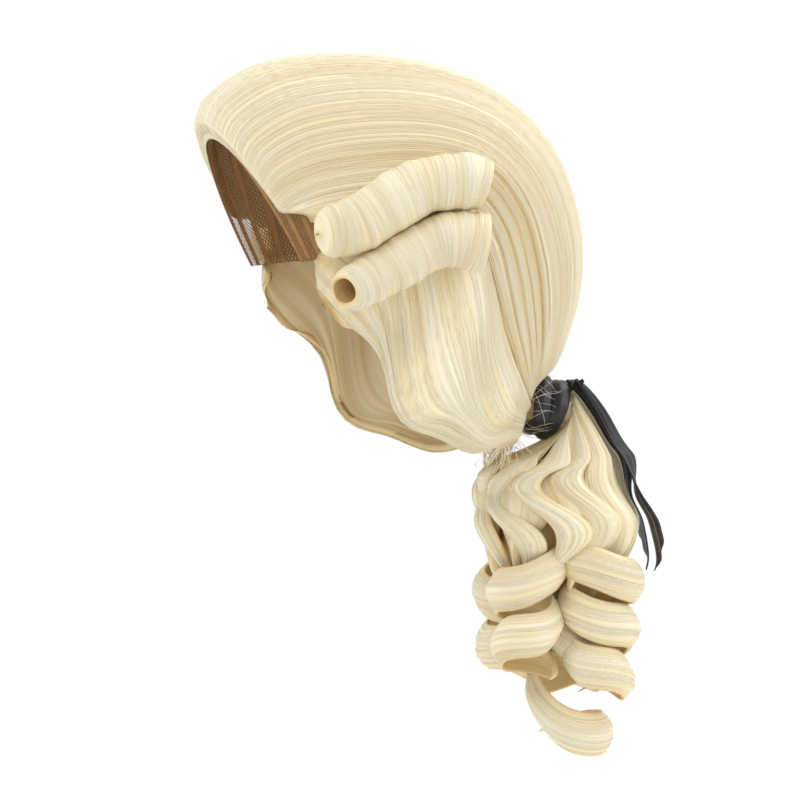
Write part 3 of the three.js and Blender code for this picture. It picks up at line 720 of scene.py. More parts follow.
def floor_material(colours):
    """Matt pale studio floor."""
    shader = Shader("floor")
    spot = shader.node("ShaderNodeTexCoord", output="Object")
    grain = shader.node("ShaderNodeTexNoise", values={"Vector": spot, "Scale": 40, "Detail": 4})
    pale = list(colours.floor)
    stops = [(0.3, [c * 0.98 for c in pale]), (0.7, pale)]
    tint = shader.node("ShaderNodeValToRGB", {"stops": stops}, {0: grain})
    return shader.finish(base_color=tint, roughness=0.9)


# Span across and run along of the hair that each combed finish covers, in millimetres
COMBED_FINISHES = {
    "combed_crown": (270, 330),
    "combed_side": (95, 200),
    "combed_roll": (200, 90),
    "combed_lock": (48, 120),
    "combed_ringlet": (44, 330),
}
PLAIN_FINISHES = {
    "strand": strand_material, "net": net_material, "satin": satin_material, "floor": floor_material,
}


def material(name):
    """The named material, made the first time it is asked for."""
    found = bpy.data.materials.get(MATERIAL_PREFIX + name)
    if found:
        return found
    colours = bpy.context.scene.wig_colours
    if name in COMBED_FINISHES:
        return combed_material(colours, name, *COMBED_FINISHES[name])
    return PLAIN_FINISHES[name](colours)


def select_only(piece):
    bpy.ops.object.select_all(action="DESELECT")
    piece.select_set(True)
    bpy.context.view_layer.objects.active = piece


def edit(piece, work, **settings):
    """Runs a mesh operator on the whole of a piece."""
    select_only(piece)
    bpy.ops.object.mode_set(mode="EDIT")
    bpy.ops.mesh.select_all(action="SELECT")
    work(**settings)
    bpy.ops.object.mode_set(mode="OBJECT")


def finish_piece(piece, finish, replaced=()):
    piece.data.materials.clear()
    piece.data.materials.append(material(finish))
    select_only(piece)
    bpy.ops.object.shade_smooth()
    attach(piece, "root")
    if replaced:
        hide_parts(*replaced)
    return piece


def set_map(mesh, values):
    """Writes one place on the hair's map for each vertex."""
    while mesh.uv_layers:
        mesh.uv_layers.remove(mesh.uv_layers[0])
    layer = mesh.uv_layers.new(name=HAIR_MAP)
    corners = np.empty(len(mesh.loops), np.int32)
    mesh.loops.foreach_get("vertex_index", corners)
    layer.uv.foreach_set("vector", values[corners].astype(np.float32).ravel())


def laid_grid(name, places, maps, outwards, tones=None):
    """A grid primitive whose vertices take the given places, its faces turned outwards."""
    rows, columns = places.shape[:2]
    bpy.ops.object.select_all(action="DESELECT")
    bpy.ops.mesh.primitive_grid_add(x_subdivisions=columns - 1, y_subdivisions=rows - 1, size=1)
    piece = bpy.context.object
    piece.name = piece.data.name = name
    mesh = piece.data
    flat = np.empty(len(mesh.vertices) * 3, np.float32)
    mesh.vertices.foreach_get("co", flat)
    spots = flat.reshape(-1, 3)
    column = np.rint((spots[:, 0] + 0.5) * (columns - 1)).astype(int)
    row = np.rint((spots[:, 1] + 0.5) * (rows - 1)).astype(int)
    mesh.vertices.foreach_set("co", places[row, column].astype(np.float32).ravel())
    set_map(mesh, maps[row, column])
    if tones is not None:
        layer = mesh.attributes.new(TONE, "FLOAT", "POINT")
        layer.data.foreach_set("value", tones[row, column].astype(np.float32))
    mesh.update()
    i, j = rows // 2, columns // 4
    across = places[i, j + 1] - places[i, j]
    along = places[i + 1, j] - places[i, j]
    if np.dot(np.cross(across, along), outwards[i, j]) < 0:
        edit(piece, bpy.ops.mesh.flip_normals)
    return piece


def seal(piece):
    """Merges the edges and poles where a rolled-up grid meets itself."""
    edit(piece, bpy.ops.mesh.remove_doubles, threshold=MERGE_DISTANCE)
    return piece


def wall(piece, share, thickness):
    """Gives a sheet its thickness inwards, each vertex a share of it."""
    group = piece.vertex_groups.new(name="wall")
    for index, weight in enumerate(share):
        group.add([index], float(weight), "REPLACE")
    solid = piece.modifiers.new("wall", "SOLIDIFY")
    solid.thickness = thickness
    solid.offset = -1
    solid.vertex_group = "wall"
    select_only(piece)
    bpy.ops.object.modifier_apply(modifier="wall")
    piece.vertex_groups.clear()
    return piece


def hair_body(name, coat, form, full, columns, rows):
    """A closed body of hair: locks outside, an inside that keeps off the cap, rounded edges."""
    cap_place = np.linspace(0, len(CAP_SECTIONS) - 1, 121)[:, None]
    cap = form.cap_point(cap_place, np.linspace(-1, 1, 161)[None, :], form.sizes.cap_wall)
    tree = KDTree(cap.size // 3)
    for index, point in enumerate(cap.reshape(-1, 3)):
        tree.insert(point, index)
    tree.balance()
    u = share_row(columns)
    v = share_column(rows)
    outer = coat.place(u, v)
    away = unit(coat.surface(u, v, MM) - coat.surface(u, v, 0))
    room = np.array([tree.find(point)[2] for point in outer.reshape(-1, 3)]).reshape(rows, columns)
    deep = np.clip(room - CAP_ROOM, CAP_ROOM, full)
    inner = outer - away * deep[..., None]
    edge = np.minimum(np.minimum(u, 1 - u) / 0.012, np.minimum(v / 0.03, (1 - v) / 0.004))
    drop = 1 - np.sqrt(1 - (1 - np.clip(edge, 0, 1)) ** 2)
    outer = lerp(outer, inner, drop[..., None])
    tones = coat.tone(u, v) + 0 * u * v
    maps = points_of(u, v)
    sheets = (outer, inner), (maps, maps), (away, -away)
    grid = [np.concatenate([front, back[:, ::-1]], 1) for front, back in sheets]
    # The inside sheet is 0.15 lower in tone: painted shade.
    return seal(laid_grid(name, *grid, np.concatenate([tones, tones[:, ::-1] - 0.15], 1)))


def array_mesh(name, places, quads, triangles, maps):
    """A mesh from arrays of quads and triangles, its faces turned outwards."""
    a, b, c, d = (places[quads[:, k]] for k in range(4))
    volume = np.einsum("ij,ij->", a, np.cross(b, c)) + np.einsum("ij,ij->", a, np.cross(c, d))
    if volume < 0:
        quads, triangles = quads[:, ::-1], triangles[:, ::-1]
    mesh = bpy.data.meshes.new(name)
    mesh.vertices.add(len(places))
    mesh.vertices.foreach_set("co", places.astype(np.float32).ravel())
    mesh.loops.add(quads.size + triangles.size)
    mesh.polygons.add(len(quads) + len(triangles))
    corners = np.concatenate([quads.ravel(), triangles.ravel()]).astype(np.int32)
    mesh.loops.foreach_set("vertex_index", corners)
    starts = np.concatenate([
        np.arange(len(quads)) * 4, quads.size + np.arange(len(triangles)) * 3,
    ]).astype(np.int32)
    mesh.polygons.foreach_set("loop_start", starts)
    mesh.update(calc_edges=True)
    mesh.validate()
    set_map(mesh, maps)
    piece = bpy.data.objects.new(name, mesh)
    bpy.context.collection.objects.link(piece)
    return piece


def strand_arrays(paths, normals, widths, tones):
    """Closed three-sided strands along paths, as arrays of places, quads, end faces and maps."""
    count, steps = paths.shape[:2]
    side = unit(np.cross(unit(np.gradient(paths, axis=1)), normals))
    half = (widths / 2)[..., None]
    top = paths + normals * half * STRAND_HEIGHT
    foot = paths - normals * half * STRAND_FOOT
    rings = np.stack([foot - side * half, foot + side * half, top], 2)
    index = np.arange(count * steps * 3).reshape(count, steps, 3)
    beside = np.roll(index, -1, 2)
    quads = np.stack([index[:, :-1], index[:, 1:], beside[:, 1:], beside[:, :-1]], -1)
    ends = np.concatenate([index[:, 0], index[:, -1, ::-1]])
    along = np.broadcast_to(np.linspace(0, 1, steps), (count, steps))
    maps = np.stack([np.clip(tones, 0.01, 0.99), along], -1)
    maps = np.repeat(maps[:, :, None], 3, 2)
    return rings.reshape(-1, 3), quads.reshape(-1, 4), ends, maps.reshape(-1, 2)


def strand_piece(name, sets):
    """One piece of hair from several sets of strands."""
    places, quads, ends, maps, shift = [], [], [], [], 0
    for one in sets:
        found = strand_arrays(*one)
        places.append(found[0])
        quads.append(found[1] + shift)
        ends.append(found[2] + shift)
        maps.append(found[3])
        shift += len(found[0])
    piece = array_mesh(name, *(np.concatenate(part) for part in (places, quads, ends, maps)))
    finish_piece(piece, "strand")
    bpy.ops.object.shade_flat()
    return piece


def taper(steps, root=0.05, tip=0.15):
    """A strand's width along it, as a share: narrow at its root and drawn out at its tip."""
    along = np.linspace(0, 1, steps)
    return np.maximum(0.12, smooth_step(-root, root, along) * (1 - smooth_step(1 - tip, 1.02, along)))


def coat_strands(rng, coat, sizes, u, v, lift, spread=0.045):
    """Strands on a coat, each a little off the tone of the hair that it lies on."""
    count, steps = u.shape
    own = rng.normal(0, spread, (count, 1))
    paths, normals = coat.laid(u, v, lift)
    width = sizes.strand * rng.uniform(0.5, 1.3, (count, 1)) * taper(steps)
    return paths, normals, width, coat.tone(u, v) + own


class WigOperator:
    """What the wig's operators share"""

    bl_options = {"REGISTER"}

    def draws(self, context, offset):
        return np.random.default_rng(context.scene.wig_studio.seed + offset)


class WIG_OT_studio(WigOperator, bpy.types.Operator):
    """Place the camera, the lights and the floor"""

    bl_idname = "wig.studio"
    bl_label = "Studio"

    def execute(self, context):
        studio = context.scene.wig_studio
        away = np.array([math.cos(studio.turn), -math.sin(studio.turn), 0])
        centre = np.array([0, studio.centre_back, -studio.centre_drop])
        bpy.ops.object.select_all(action="DESELECT")
        bpy.ops.object.camera_add(
            location=centre + away * studio.distance,
            rotation=(QUARTER, 0, QUARTER - studio.turn),
        )
        camera = context.object
        camera.data.sensor_fit = "HORIZONTAL"
        camera.data.angle = 2 * math.atan(IMAGE_SIDE * studio.pixel / 2 / studio.distance)
        camera.data.clip_end = 100
        context.scene.camera = camera
        for name, place, side, power in LIGHTS:
            bpy.ops.object.light_add(type="AREA", location=place)
            light = context.object
            light.name = name
            light.data.size = side
            light.data.energy = power
            aim = np.array(place) - centre
            light.rotation_euler = (
                math.atan2(math.hypot(aim[0], aim[1]), aim[2]), 0, math.atan2(aim[0], -aim[1]),
            )
        bpy.ops.mesh.primitive_plane_add(size=studio.floor_side, location=(0, 0, -studio.floor_drop))
        floor = context.object
        floor.name = "floor"
        bpy.ops.object.transform_apply(location=True)
        floor.data.materials.append(material("floor"))
        self.light_world(context.scene)
        context.scene.view_settings.view_transform = "Standard"
        return {"FINISHED"}

    def light_world(self, scene):
        """White seen by the camera, and softer white light on the wig."""
        world = bpy.data.worlds.new("studio")
        world.use_nodes = True
        tree = world.node_tree
        shown = tree.nodes["Background"]
        shown.inputs["Color"].default_value = (1, 1, 1, 1)
        soft = tree.nodes.new("ShaderNodeBackground")
        soft.inputs["Color"].default_value = (1, 1, 1, 1)
        soft.inputs["Strength"].default_value = WORLD_LIGHT
        seen = tree.nodes.new("ShaderNodeLightPath")
        mix = tree.nodes.new("ShaderNodeMixShader")
        tree.links.new(seen.outputs["Is Camera Ray"], mix.inputs[0])
        tree.links.new(soft.outputs[0], mix.inputs[1])
        tree.links.new(shown.outputs[0], mix.inputs[2])
        tree.links.new(mix.outputs[0], tree.nodes["World Output"].inputs["Surface"])
        scene.world = world


class WIG_OT_cap(WigOperator, bpy.types.Operator):
    """Build the net cap"""

    bl_idname = "wig.cap"
    bl_label = "Net cap"

    def execute(self, context):
        sizes = context.scene.wig_sizes
        form = WigForm(sizes)
        v = share_column(73)
        u = share_row(81)
        place, across = v * (len(CAP_SECTIONS) - 1), 2 * u - 1
        places = form.cap_point(place, across, sizes.cap_wall)
        out = form.cap_point(place, across, 2 * sizes.cap_wall) - places
        piece = laid_grid("cap_net", places, points_of(u, v), out)
        wall(piece, np.ones(len(piece.data.vertices)), sizes.cap_wall)
        finish_piece(piece, "net", ["cap"])
        return {"FINISHED"}


class WIG_OT_crown_hair(WigOperator, bpy.types.Operator):
    """Comb the hair back over the crown"""

    bl_idname = "wig.crown_hair"
    bl_label = "Crown hair"
    strands: IntProperty(name="Strands", description="Strands on each half", default=330)

    def execute(self, context):
        sizes = context.scene.wig_sizes
        form = WigForm(sizes)
        coat = self.coat(form, self.draws(context, 1))
        piece = hair_body("crown_base", coat, form, sizes.crown_thickness, 340, 60)
        finish_piece(piece, "combed_crown", ["crown_hair"])
        rng = self.draws(context, 2)
        for name, side in SIDES:
            strand_piece("crown_strands_" + name, [self.combed(coat, rng, sizes, side)])
        return {"FINISHED"}

    def coat(self, form, rng):
        def spots(u, v):
            across = 2 * u - 1
            start = 2.1 * smooth_step(0.84, 0.97, np.abs(across))
            return lerp(start, form.last, v), across

        def surface(u, v, lift):
            place, across = spots(u, v)
            root = form.sizes.hairline * (1 - smooth_step(0, 0.035, v))
            return form.crown_point(place, across, lift - root - creases(u, v) * 0.7 * MM)

        def creases(u, v):
            place, across = spots(u, v)
            across = np.abs(across) + 0.006 * np.sin(1.3 * place)
            return sum(
                np.exp(-((across - at) / width) ** 2)
                * smooth_step(first, first + 1, place) * (1 - smooth_step(last - 1, last, place))
                for at, width, first, last in CROWN_CREASES
            )

        def tone(u, v):
            # Lower in tone in the grooves, in the creases and along the side edges tucked under the rolls:
            # painted shade.
            hem = smooth_step(0.96, 1, np.abs(2 * u - 1))
            return 0.65 - 0.13 * form.groove_depth(*spots(u, v)) - 0.28 * creases(u, v) - 0.25 * hem

        return Coat(rng, surface, tone, CROWN_LOCKS)

    def combed(self, coat, rng, sizes, side):
        count, steps = self.strands, 36
        share = share_row(steps)
        spot = (np.arange(count) + rng.uniform(0, 1, count)) / count
        start = np.where(rng.uniform(0, 1, count) < 0.5, rng.uniform(0, 0.6, count), 0)[:, None]
        v = lerp(start, rng.uniform(0.93, 1, count)[:, None], share)
        drift = rng.normal(0, 0.004, count)[:, None] * np.sin(5 * v + 9 * rng.uniform(0, 1, (count, 1)))
        u = 0.5 + side * np.clip(spot[:, None] / 2 + drift, 0, 0.5)
        layer = rng.uniform(0.02, 0.22, count)[:, None] * MM
        lift = layer - 1.2 * MM * (1 - smooth_step(0, 0.06, share)) * (start > 0)
        return coat_strands(rng, coat, sizes, u, v, lift)


class WIG_OT_side_hair(WigOperator, bpy.types.Operator):
    """Sweep the waved side hair back to the tie"""

    bl_idname = "wig.side_hair"
    bl_label = "Side hair"
    strands: IntProperty(name="Strands", description="Strands on each side", default=300)

    def execute(self, context):
        sizes = context.scene.wig_sizes
        form = WigForm(sizes)
        for name, side in SIDES:
            coat = self.coat(form, self.draws(context, 3), side)
            piece = hair_body("side_base_" + name, coat, form, sizes.side_thickness, 180, 64)
            finish_piece(piece, "combed_side", ["side_hair_" + name])
            strands = self.swept(coat, self.draws(context, 4), sizes)
            strand_piece("side_strands_" + name, [strands])
        return {"FINISHED"}

    def coat(self, form, rng, side):
        flip = np.array([side, 1, 1])

        def surface(u, v, lift):
            flow = 1.5 * np.asarray(u, float)
            edge = np.clip(2 * (flow - 1), 0, 1)
            front = 2.4 - 1.1 * smooth_step(0.1, 0.6, edge) + smooth_step(0.7, 1, edge)
            start = np.where(flow < 1, lerp(9, 2.4, flow), front)
            place = lerp(start, form.last, v)
            final = np.where(flow < 1, 0.8 * flow, 0.8 + 0.4 * (flow - 1))
            reach = lerp(6.0, 3.4, np.clip(flow, 0, 1))
            down = lerp(edge, final, smooth_step(0, reach, place - start))
            swing = 0.05 * np.sin(2.1 * place + 2.5 * flow) * np.sin(math.pi * np.clip(down, 0, 1))
            tucked = np.where(flow < 1, 1 - smooth_step(0, 1.2, place - start), 0)
            down = np.clip(down + swing * (1 - tucked) - 0.07 * tucked, -0.07, 1)
            root = 1.4 * MM * (1 - smooth_step(0, 0.04, v)) + MM * tucked
            return form.side_point(place, down, lift - root) * flip

        def tone(u, v):
            # Lower in tone at the roots, which are tucked under the rolls: painted shade. The tone is also
            # lower towards the front edge.
            return 0.62 - 0.25 * (1 - smooth_step(0, 0.07, v)) - 0.14 * smooth_step(0.9, 1, u)

        return Coat(rng, surface, tone, SIDE_LOCKS)

    def swept(self, coat, rng, sizes):
        count, steps = self.strands, 24
        share = share_row(steps)
        spot = rng.uniform(0.03, 1, count)[:, None]
        start = np.where(rng.uniform(0, 1, count) < 0.4, rng.uniform(0, 0.5, count), 0)[:, None]
        v = lerp(start, rng.uniform(0.9, 1, count)[:, None], share)
        drift = rng.normal(0, 0.008, count)[:, None] * np.sin(6 * v + 9 * rng.uniform(0, 1, (count, 1)))
        layer = rng.uniform(-0.1, 0.25, count)[:, None] * MM
        lift = layer - 1.2 * MM * (1 - smooth_step(0, 0.06, share)) * (start > 0)
        return coat_strands(rng, coat, sizes, np.clip(spot + drift, 0, 1), v, lift)


class WIG_OT_side_rolls(WigOperator, bpy.types.Operator):
    """Wind the side rolls"""

    bl_idname = "wig.side_rolls"
    bl_label = "Side rolls"
    strands: IntProperty(name="Strands", description="Strands on each roll", default=150)

    def execute(self, context):
        sizes = context.scene.wig_sizes
        form = WigForm(sizes)
        for name, side in SIDES:
            for number, which in enumerate(ROLL_ROWS):
                coat = self.coat(form, self.draws(context, 10 + number), which, side)
                self.base(coat, sizes, which, name)
                strands = self.wound(coat, self.draws(context, 20 + number), sizes)
                strand_piece(f"roll_strands_{which}_{name}", [strands])
        return {"FINISHED"}

    def coat(self, form, rng, which, side):
        flip = np.array([side, 1, 1])
        front, closed = {"upper": (0.04, 11 * MM), "lower": (0.12, 2 * MM)}[which]

        def surface(u, v, lift):
            angle = math.pi * (1 - 2 * np.asarray(v, float))
            slant = 0.012 * np.sin(angle) * np.sin(math.pi * np.clip(u, 0, 1))
            cut = front * (1 + np.cos(angle)) / 2 * (1 - np.clip(u, 0, 1)) ** 3
            shut = 1 - np.sqrt(1 - (1 - np.clip(u / 0.08, 0, 1)) ** 2)
            return form.roll_point(which, u + slant + cut, angle, lift - closed * shut) * flip

        return Coat(rng, surface, 0.64, ROLL_LOCKS, closed=True)

    def base(self, coat, sizes, which, name):
        """Outside, rear lip, inside and front lip of a roll, in one closed body."""
        v = share_row(49)
        turn = np.linspace(0, math.pi, 9)[1:-1]
        half = sizes.roll_wall * 0.3
        lip = half / {"upper": sizes.upper_length, "lower": sizes.lower_length}[which]
        outside, inside = np.linspace(0, 1, 170), np.linspace(1, 0, 30)
        # The last column is painted shade: the lips are a little lower in tone and the inside, the roll's
        # hollow, much lower.
        profile = [(u, 0.0, 1.0, 0.0) for u in outside]
        profile += [(1 + lip * math.sin(t), half * (math.cos(t) - 1), 0.3, -0.1 - 0.11 * t) for t in turn]
        profile += [(u, -2 * half, 0.4, -0.5) for u in inside]
        profile += [(-lip * math.sin(t), -half * (math.cos(t) + 1), 0.3, -0.45 + 0.11 * t) for t in turn]
        profile.append(profile[0])
        u, sunk, raised, painted_shade = (column[:, None] for column in np.array(profile).T)
        fade = raised * (0.3 + 0.7 * smooth_step(0, 0.03, u) * (1 - smooth_step(0.97, 1, u)))
        places = coat.surface(u, v, sunk + fade * coat.height(u, v))
        out = coat.surface(u, v, sunk + MM) - places
        tones = coat.tone(u, v) + painted_shade
        across = share_column(len(profile))
        maps = points_of(across, v)
        grid = [part.transpose(1, 0, 2) for part in (places, maps, out)]
        piece = laid_grid(f"roll_base_{which}_{name}", *grid, tones.T)
        finish_piece(seal(piece), "combed_roll", [f"roll_{which}_{name}"])

    def wound(self, coat, rng, sizes):
        count, steps = self.strands, 25
        spot = ((np.arange(count) + rng.uniform(0, 1, count)) / count)[:, None]
        share = share_row(steps)
        v = lerp(rng.uniform(0.02, 0.2, count)[:, None], rng.uniform(0.8, 0.98, count)[:, None], share)
        u = np.clip(spot + rng.normal(0, 0.006, (count, 1)) * np.sin(6 * v), 0.003, 0.997)
        layer = rng.uniform(-0.1, 0.22, count)[:, None] * MM
        lift = layer - 0.8 * MM * (1 - np.sin(math.pi * share)) ** 6
        return coat_strands(rng, coat, sizes, u, v, lift)


class WIG_OT_tie_band(WigOperator, bpy.types.Operator):
    """Wind the black band twice round the hair"""

    bl_idname = "wig.tie_band"
    bl_label = "Tie band"
    strays: IntProperty(name="Strays", description="Loose hairs over the band", default=48)

    def execute(self, context):
        sizes = context.scene.wig_sizes
        form = WigForm(sizes)
        turns, steps = 2.2, 170
        share = share_row(steps)
        turn = np.linspace(0, 2 * math.pi, 37)[:, None]
        angle = 2 * math.pi * (turns * share + 0.3)
        band, thick = sizes.tie_length * 0.5, 5.2 * MM
        shut = np.sqrt(np.clip(8 * np.minimum(share, 1 - share), 0, 1))
        crease = 0.09 * np.sin(3 * turn + 2 * angle) + 0.05 * np.sin(6 * turn - 3 * angle)
        wide = band / 2 * shut * np.sin(turn) * (1 + 0.5 * crease)
        out = thick / 2 * shut * np.cos(turn) * (1 + crease)
        middle = lerp(-0.5, 0.5, smooth_step(0.4, 0.6, share)) * (sizes.tie_length - band)
        along = middle + wide
        radius = sizes.tie_bore + thick / 2 - 0.3 * MM + out
        right = np.array([1, 0, 0])
        ring = right * np.sin(angle)[..., None] + form.tie_up * np.cos(angle)[..., None]
        places = form.tie_centre + ring * radius[..., None] + form.tie_axis * along[..., None]
        away = ring * out[..., None] + form.tie_axis * wide[..., None]
        maps = points_of(turn / (2 * math.pi), share)
        grid = [part.transpose(1, 0, 2) for part in (places, maps, away)]
        piece = seal(laid_grid("tie_satin", *grid))
        finish_piece(piece, "satin", ["tie_band"])
        strand_piece("tie_strays", [self.loose(form, self.draws(context, 30))])
        return {"FINISHED"}

    def loose(self, form, rng):
        """Fine hairs that cross one another over the front of the band."""
        count, steps = self.strays, 14
        sizes = form.sizes
        share = share_row(steps)
        bend = 0.05 * np.sin(5 * share + 9 * rng.uniform(0, 1, (count, 1)))
        turned = rng.normal(0, 0.6, count)[:, None] * share + bend
        angle = rng.uniform(-0.6, math.pi + 0.9, count)[:, None] + turned
        first = rng.uniform(-0.62, -0.5, count)[:, None]
        along = lerp(first, rng.uniform(-0.1, 0.3, count)[:, None], share) * sizes.tie_length
        radius = sizes.tie_bore + (5.3 + 0.3 * np.sin(math.pi * share)) * MM
        radius = radius - 2.5 * MM * (1 - smooth_step(0, 0.25, share))
        ring = np.array([1.0, 0, 0]) * np.sin(angle)[..., None] + form.tie_up * np.cos(angle)[..., None]
        paths = form.tie_centre + ring * radius[..., None] + form.tie_axis * along[..., None]
        width = sizes.stray * rng.uniform(0.6, 1, count)[:, None] * taper(steps)
        tone = rng.uniform(0.7, 0.95, count)[:, None] + 0 * share
        return paths, ring, width, tone


class WIG_OT_queue(WigOperator, bpy.types.Operator):
    """Dress the queue: wavy locks that end in ringlets"""

    bl_idname = "wig.queue"
    bl_label = "Queue"
    strands: IntProperty(name="Strands", description="Strands on each lock of the body", default=22)
    ringlet_strands: IntProperty(name="Ringlet strands", description="Strands on each ringlet", default=34)

    def execute(self, context):
        sizes = context.scene.wig_sizes
        form = WigForm(sizes)
        self.core(form)
        rng = self.draws(context, 40)
        sets = []
        for number, row in enumerate(LOCKS):
            lock = named(LOCK_COLUMNS, row)
            coat = self.lock_coat(form, rng, lock)
            self.band(f"queue_lock_{number + 1:02}", coat, sizes.lock_thickness, 62, "combed_lock")
            sets.append(self.laid(coat, rng, sizes, self.strands, 26))
        sets.append(self.nape(form, rng))
        strand_piece("queue_strands", sets)
        sets = []
        for number, row in enumerate(RINGLETS):
            coat = self.ringlet_coat(form, rng, named(RINGLET_COLUMNS, row))
            self.band(f"ringlet_{number + 1}", coat, sizes.ringlet_wall, 150, "combed_ringlet")
            sets.append(self.laid(coat, rng, sizes, self.ringlet_strands, 70))
        strand_piece("ringlet_strands", sets)
        return {"FINISHED"}

    def core(self, form):
        """The hair deep in the queue, which shows between its locks."""
        v = share_column(73)
        u = share_row(85)
        angle = 2 * math.pi * u
        place = v * form.queue_last
        sunk = form.sizes.queue_core * smooth_step(0.5, 2.6, place)
        girth = np.clip(form.queue.at(place).wide - 2 * MM, 0, None)
        ripple = 1.2 * MM * np.sin(11 * angle + 1.5 * place) * smooth_step(2, 4, place)
        closed = smooth_step(0, 0.02, v) * (1 - smooth_step(0.95, 1, v))
        lift = np.maximum(ripple - sunk, -girth)
        places = form.queue_point(place, angle, lift)
        row = form.queue.at(place)
        centre = points_of(0, row.y, row.z)
        places = centre + (places - centre) * closed[..., None]
        # A dark tone with paler ripple crests: painted shade deep between the locks.
        tones = 0.22 + 0.1 * np.sin(11 * angle + 1.5 * place)
        maps = points_of(u, v)
        out = form.queue_point(place, angle, lift + MM) - form.queue_point(place, angle, lift)
        piece = seal(laid_grid("queue_core", places, maps, out, tones))
        finish_piece(piece, "combed_side", ["queue"])

    def fore(self, place, angle):
        """How far the hair stands forward under the nape."""
        share = smooth_step(1.8, 3, place) * (1 - smooth_step(3, 4.8, place))
        share = share * np.clip(-np.cos(angle), 0, 1)
        return points_of(0, -12 * MM * share, 10 * MM * share)

    def nape(self, form, rng, count=170, steps=16):
        """Loose hair that curls from the hem of the nape down into the queue."""
        share = np.linspace(0, 1, steps)[None, :, None]
        start = form.side_point(rng.uniform(10, 11.8, count), rng.uniform(0.8, 1, count), -2.5 * MM)
        start[:, 0] *= rng.choice([-1, 1], count)
        place, angle = rng.uniform(3, 4.3, count), math.pi + rng.normal(0, 0.45, count)
        end = form.queue_point(place, angle, 1 * MM) + self.fore(place, angle)
        bulge = rng.normal(0, 1, (count, 1, 3)) * (2 * MM, 1.6 * MM, 1.2 * MM)
        curl = rng.normal(0, 0.5 * MM, (count, 1, 3))
        curl = curl * np.sin(9 * share + 9 * rng.uniform(0, 1, (count, 1, 1)))
        paths = lerp(start[:, None], end[:, None], share) + (bulge + curl) * np.sin(math.pi * share)
        normals = np.broadcast_to(unit(rng.normal(0, 1, (count, 1, 3))), paths.shape)
        width = form.sizes.stray * rng.uniform(1.6, 3.4, (count, 1)) * taper(steps)
        return paths, normals, width, rng.uniform(0.5, 0.9, (count, 1)) + 0 * share[..., 0]

    def lock_coat(self, form, rng, lock):
        """A wavy lock on the queue's body, narrow at the tie and drawn out to a curled tip."""
        sizes = form.sizes
        drift = rng.uniform(-0.04, 0.04)

        def surface(u, v, lift):
            across = 2 * np.asarray(u, float) - 1
            place = lerp(lock.first, lock.last, v)
            ramp = smooth_step(1.6, 4, place)
            wave = np.sin(1.7 * place + lock.phase)
            calm = np.clip(1.5 - 1.5 * math.cos(math.radians(lock.angle)), 0.3, 1) * ramp
            narrow = lerp(1, 0.12, smooth_step(0.72, 1, v)) * lerp(0.75, 1, ramp)
            half = math.radians(lock.span) / 2 * narrow
            angle = math.radians(lock.angle) + lock.swing * ramp * wave + half * across
            rise = lock.lift * MM * ramp + sizes.lock_wave * calm * np.sin(2.1 * place + lock.phase + 1.3)
            rise = rise + 4 * MM * smooth_step(0.7, 1, v) * math.sin(lock.phase) * calm
            bulge = (1 - across ** 2) * 4.6 * MM * smooth_step(0.6, 3, place) - 2 * MM
            return form.queue_point(place, angle, rise + bulge + lift) + self.fore(place, angle)

        def tone(u, v):
            # Paler the higher the lock is lifted, painted light; lower in tone towards each lock's edges,
            # painted shade; the drift is the lock's own random tone.
            level = 0.53 + 0.03 * lock.lift + drift
            return level - 0.16 * np.abs(2 * np.asarray(u, float) - 1) ** 3

        return Coat(rng, surface, tone, BAND_LOCKS)

    def ringlet_coat(self, form, rng, ring):
        sizes = form.sizes

        def surface(u, v, lift):
            across = 2 * np.asarray(u, float) - 1
            point = smooth_step(-0.03, 0.05, v) * (1 - smooth_step(0.9, 1.01, v))
            out = ((1 - across ** 2) * 6.2 * MM - 2.8 * MM) * point + lift
            return form.ringlet_point(ring, v, across * point, out)

        def tone(u, v):
            # Lower in tone towards the band's edges, which curl away: painted shade.
            return 0.64 - 0.16 * np.abs(2 * np.asarray(u, float) - 1) ** 3

        return Coat(rng, surface, tone, BAND_LOCKS)

    def band(self, name, coat, thickness, rows, finish):
        """A lock of hair as a closed band: its outside with the locks raised, and a smooth inside."""
        u = share_row(49)
        v = share_column(rows)
        outer = np.minimum(2 * u, 1)
        spot = np.where(u <= 0.5, outer, 2 - 2 * u)
        across = 2 * spot - 1
        window = np.clip(6 * np.minimum(spot, 1 - spot), 0, 1) * (u <= 0.5)
        ends = np.clip(np.minimum(14 * v, 8 * (1 - v)), 0, 1)
        inner = -thickness * np.sqrt(1 - across ** 2) * np.sqrt(ends) * (u > 0.5)
        places = coat.surface(spot, v, window * ends * coat.height(spot, v) + inner)
        out = coat.surface(spot, v, inner + MM) - coat.surface(spot, v, inner)
        # The inside is 0.2 lower in tone: painted shade.
        tones = coat.tone(spot, v) - 0.2 * (u > 0.5)
        maps = points_of(u, v)
        piece = seal(laid_grid(name, places, maps, out, tones))
        return finish_piece(piece, finish)

    def laid(self, coat, rng, sizes, count, steps):
        share = share_row(steps)
        spot = rng.uniform(0.04, 0.96, count)[:, None]
        start = rng.uniform(0, 0.12, count)[:, None]
        v = lerp(start, rng.uniform(0.86, 0.96, count)[:, None], share)
        u = np.clip(spot + 0.03 * np.sin(9 * v + 9 * rng.uniform(0, 1, (count, 1))), 0.02, 0.98)
        layer = rng.uniform(0, 0.25, count)[:, None] * MM + 0 * share
        return coat_strands(rng, coat, sizes, u, v, layer)


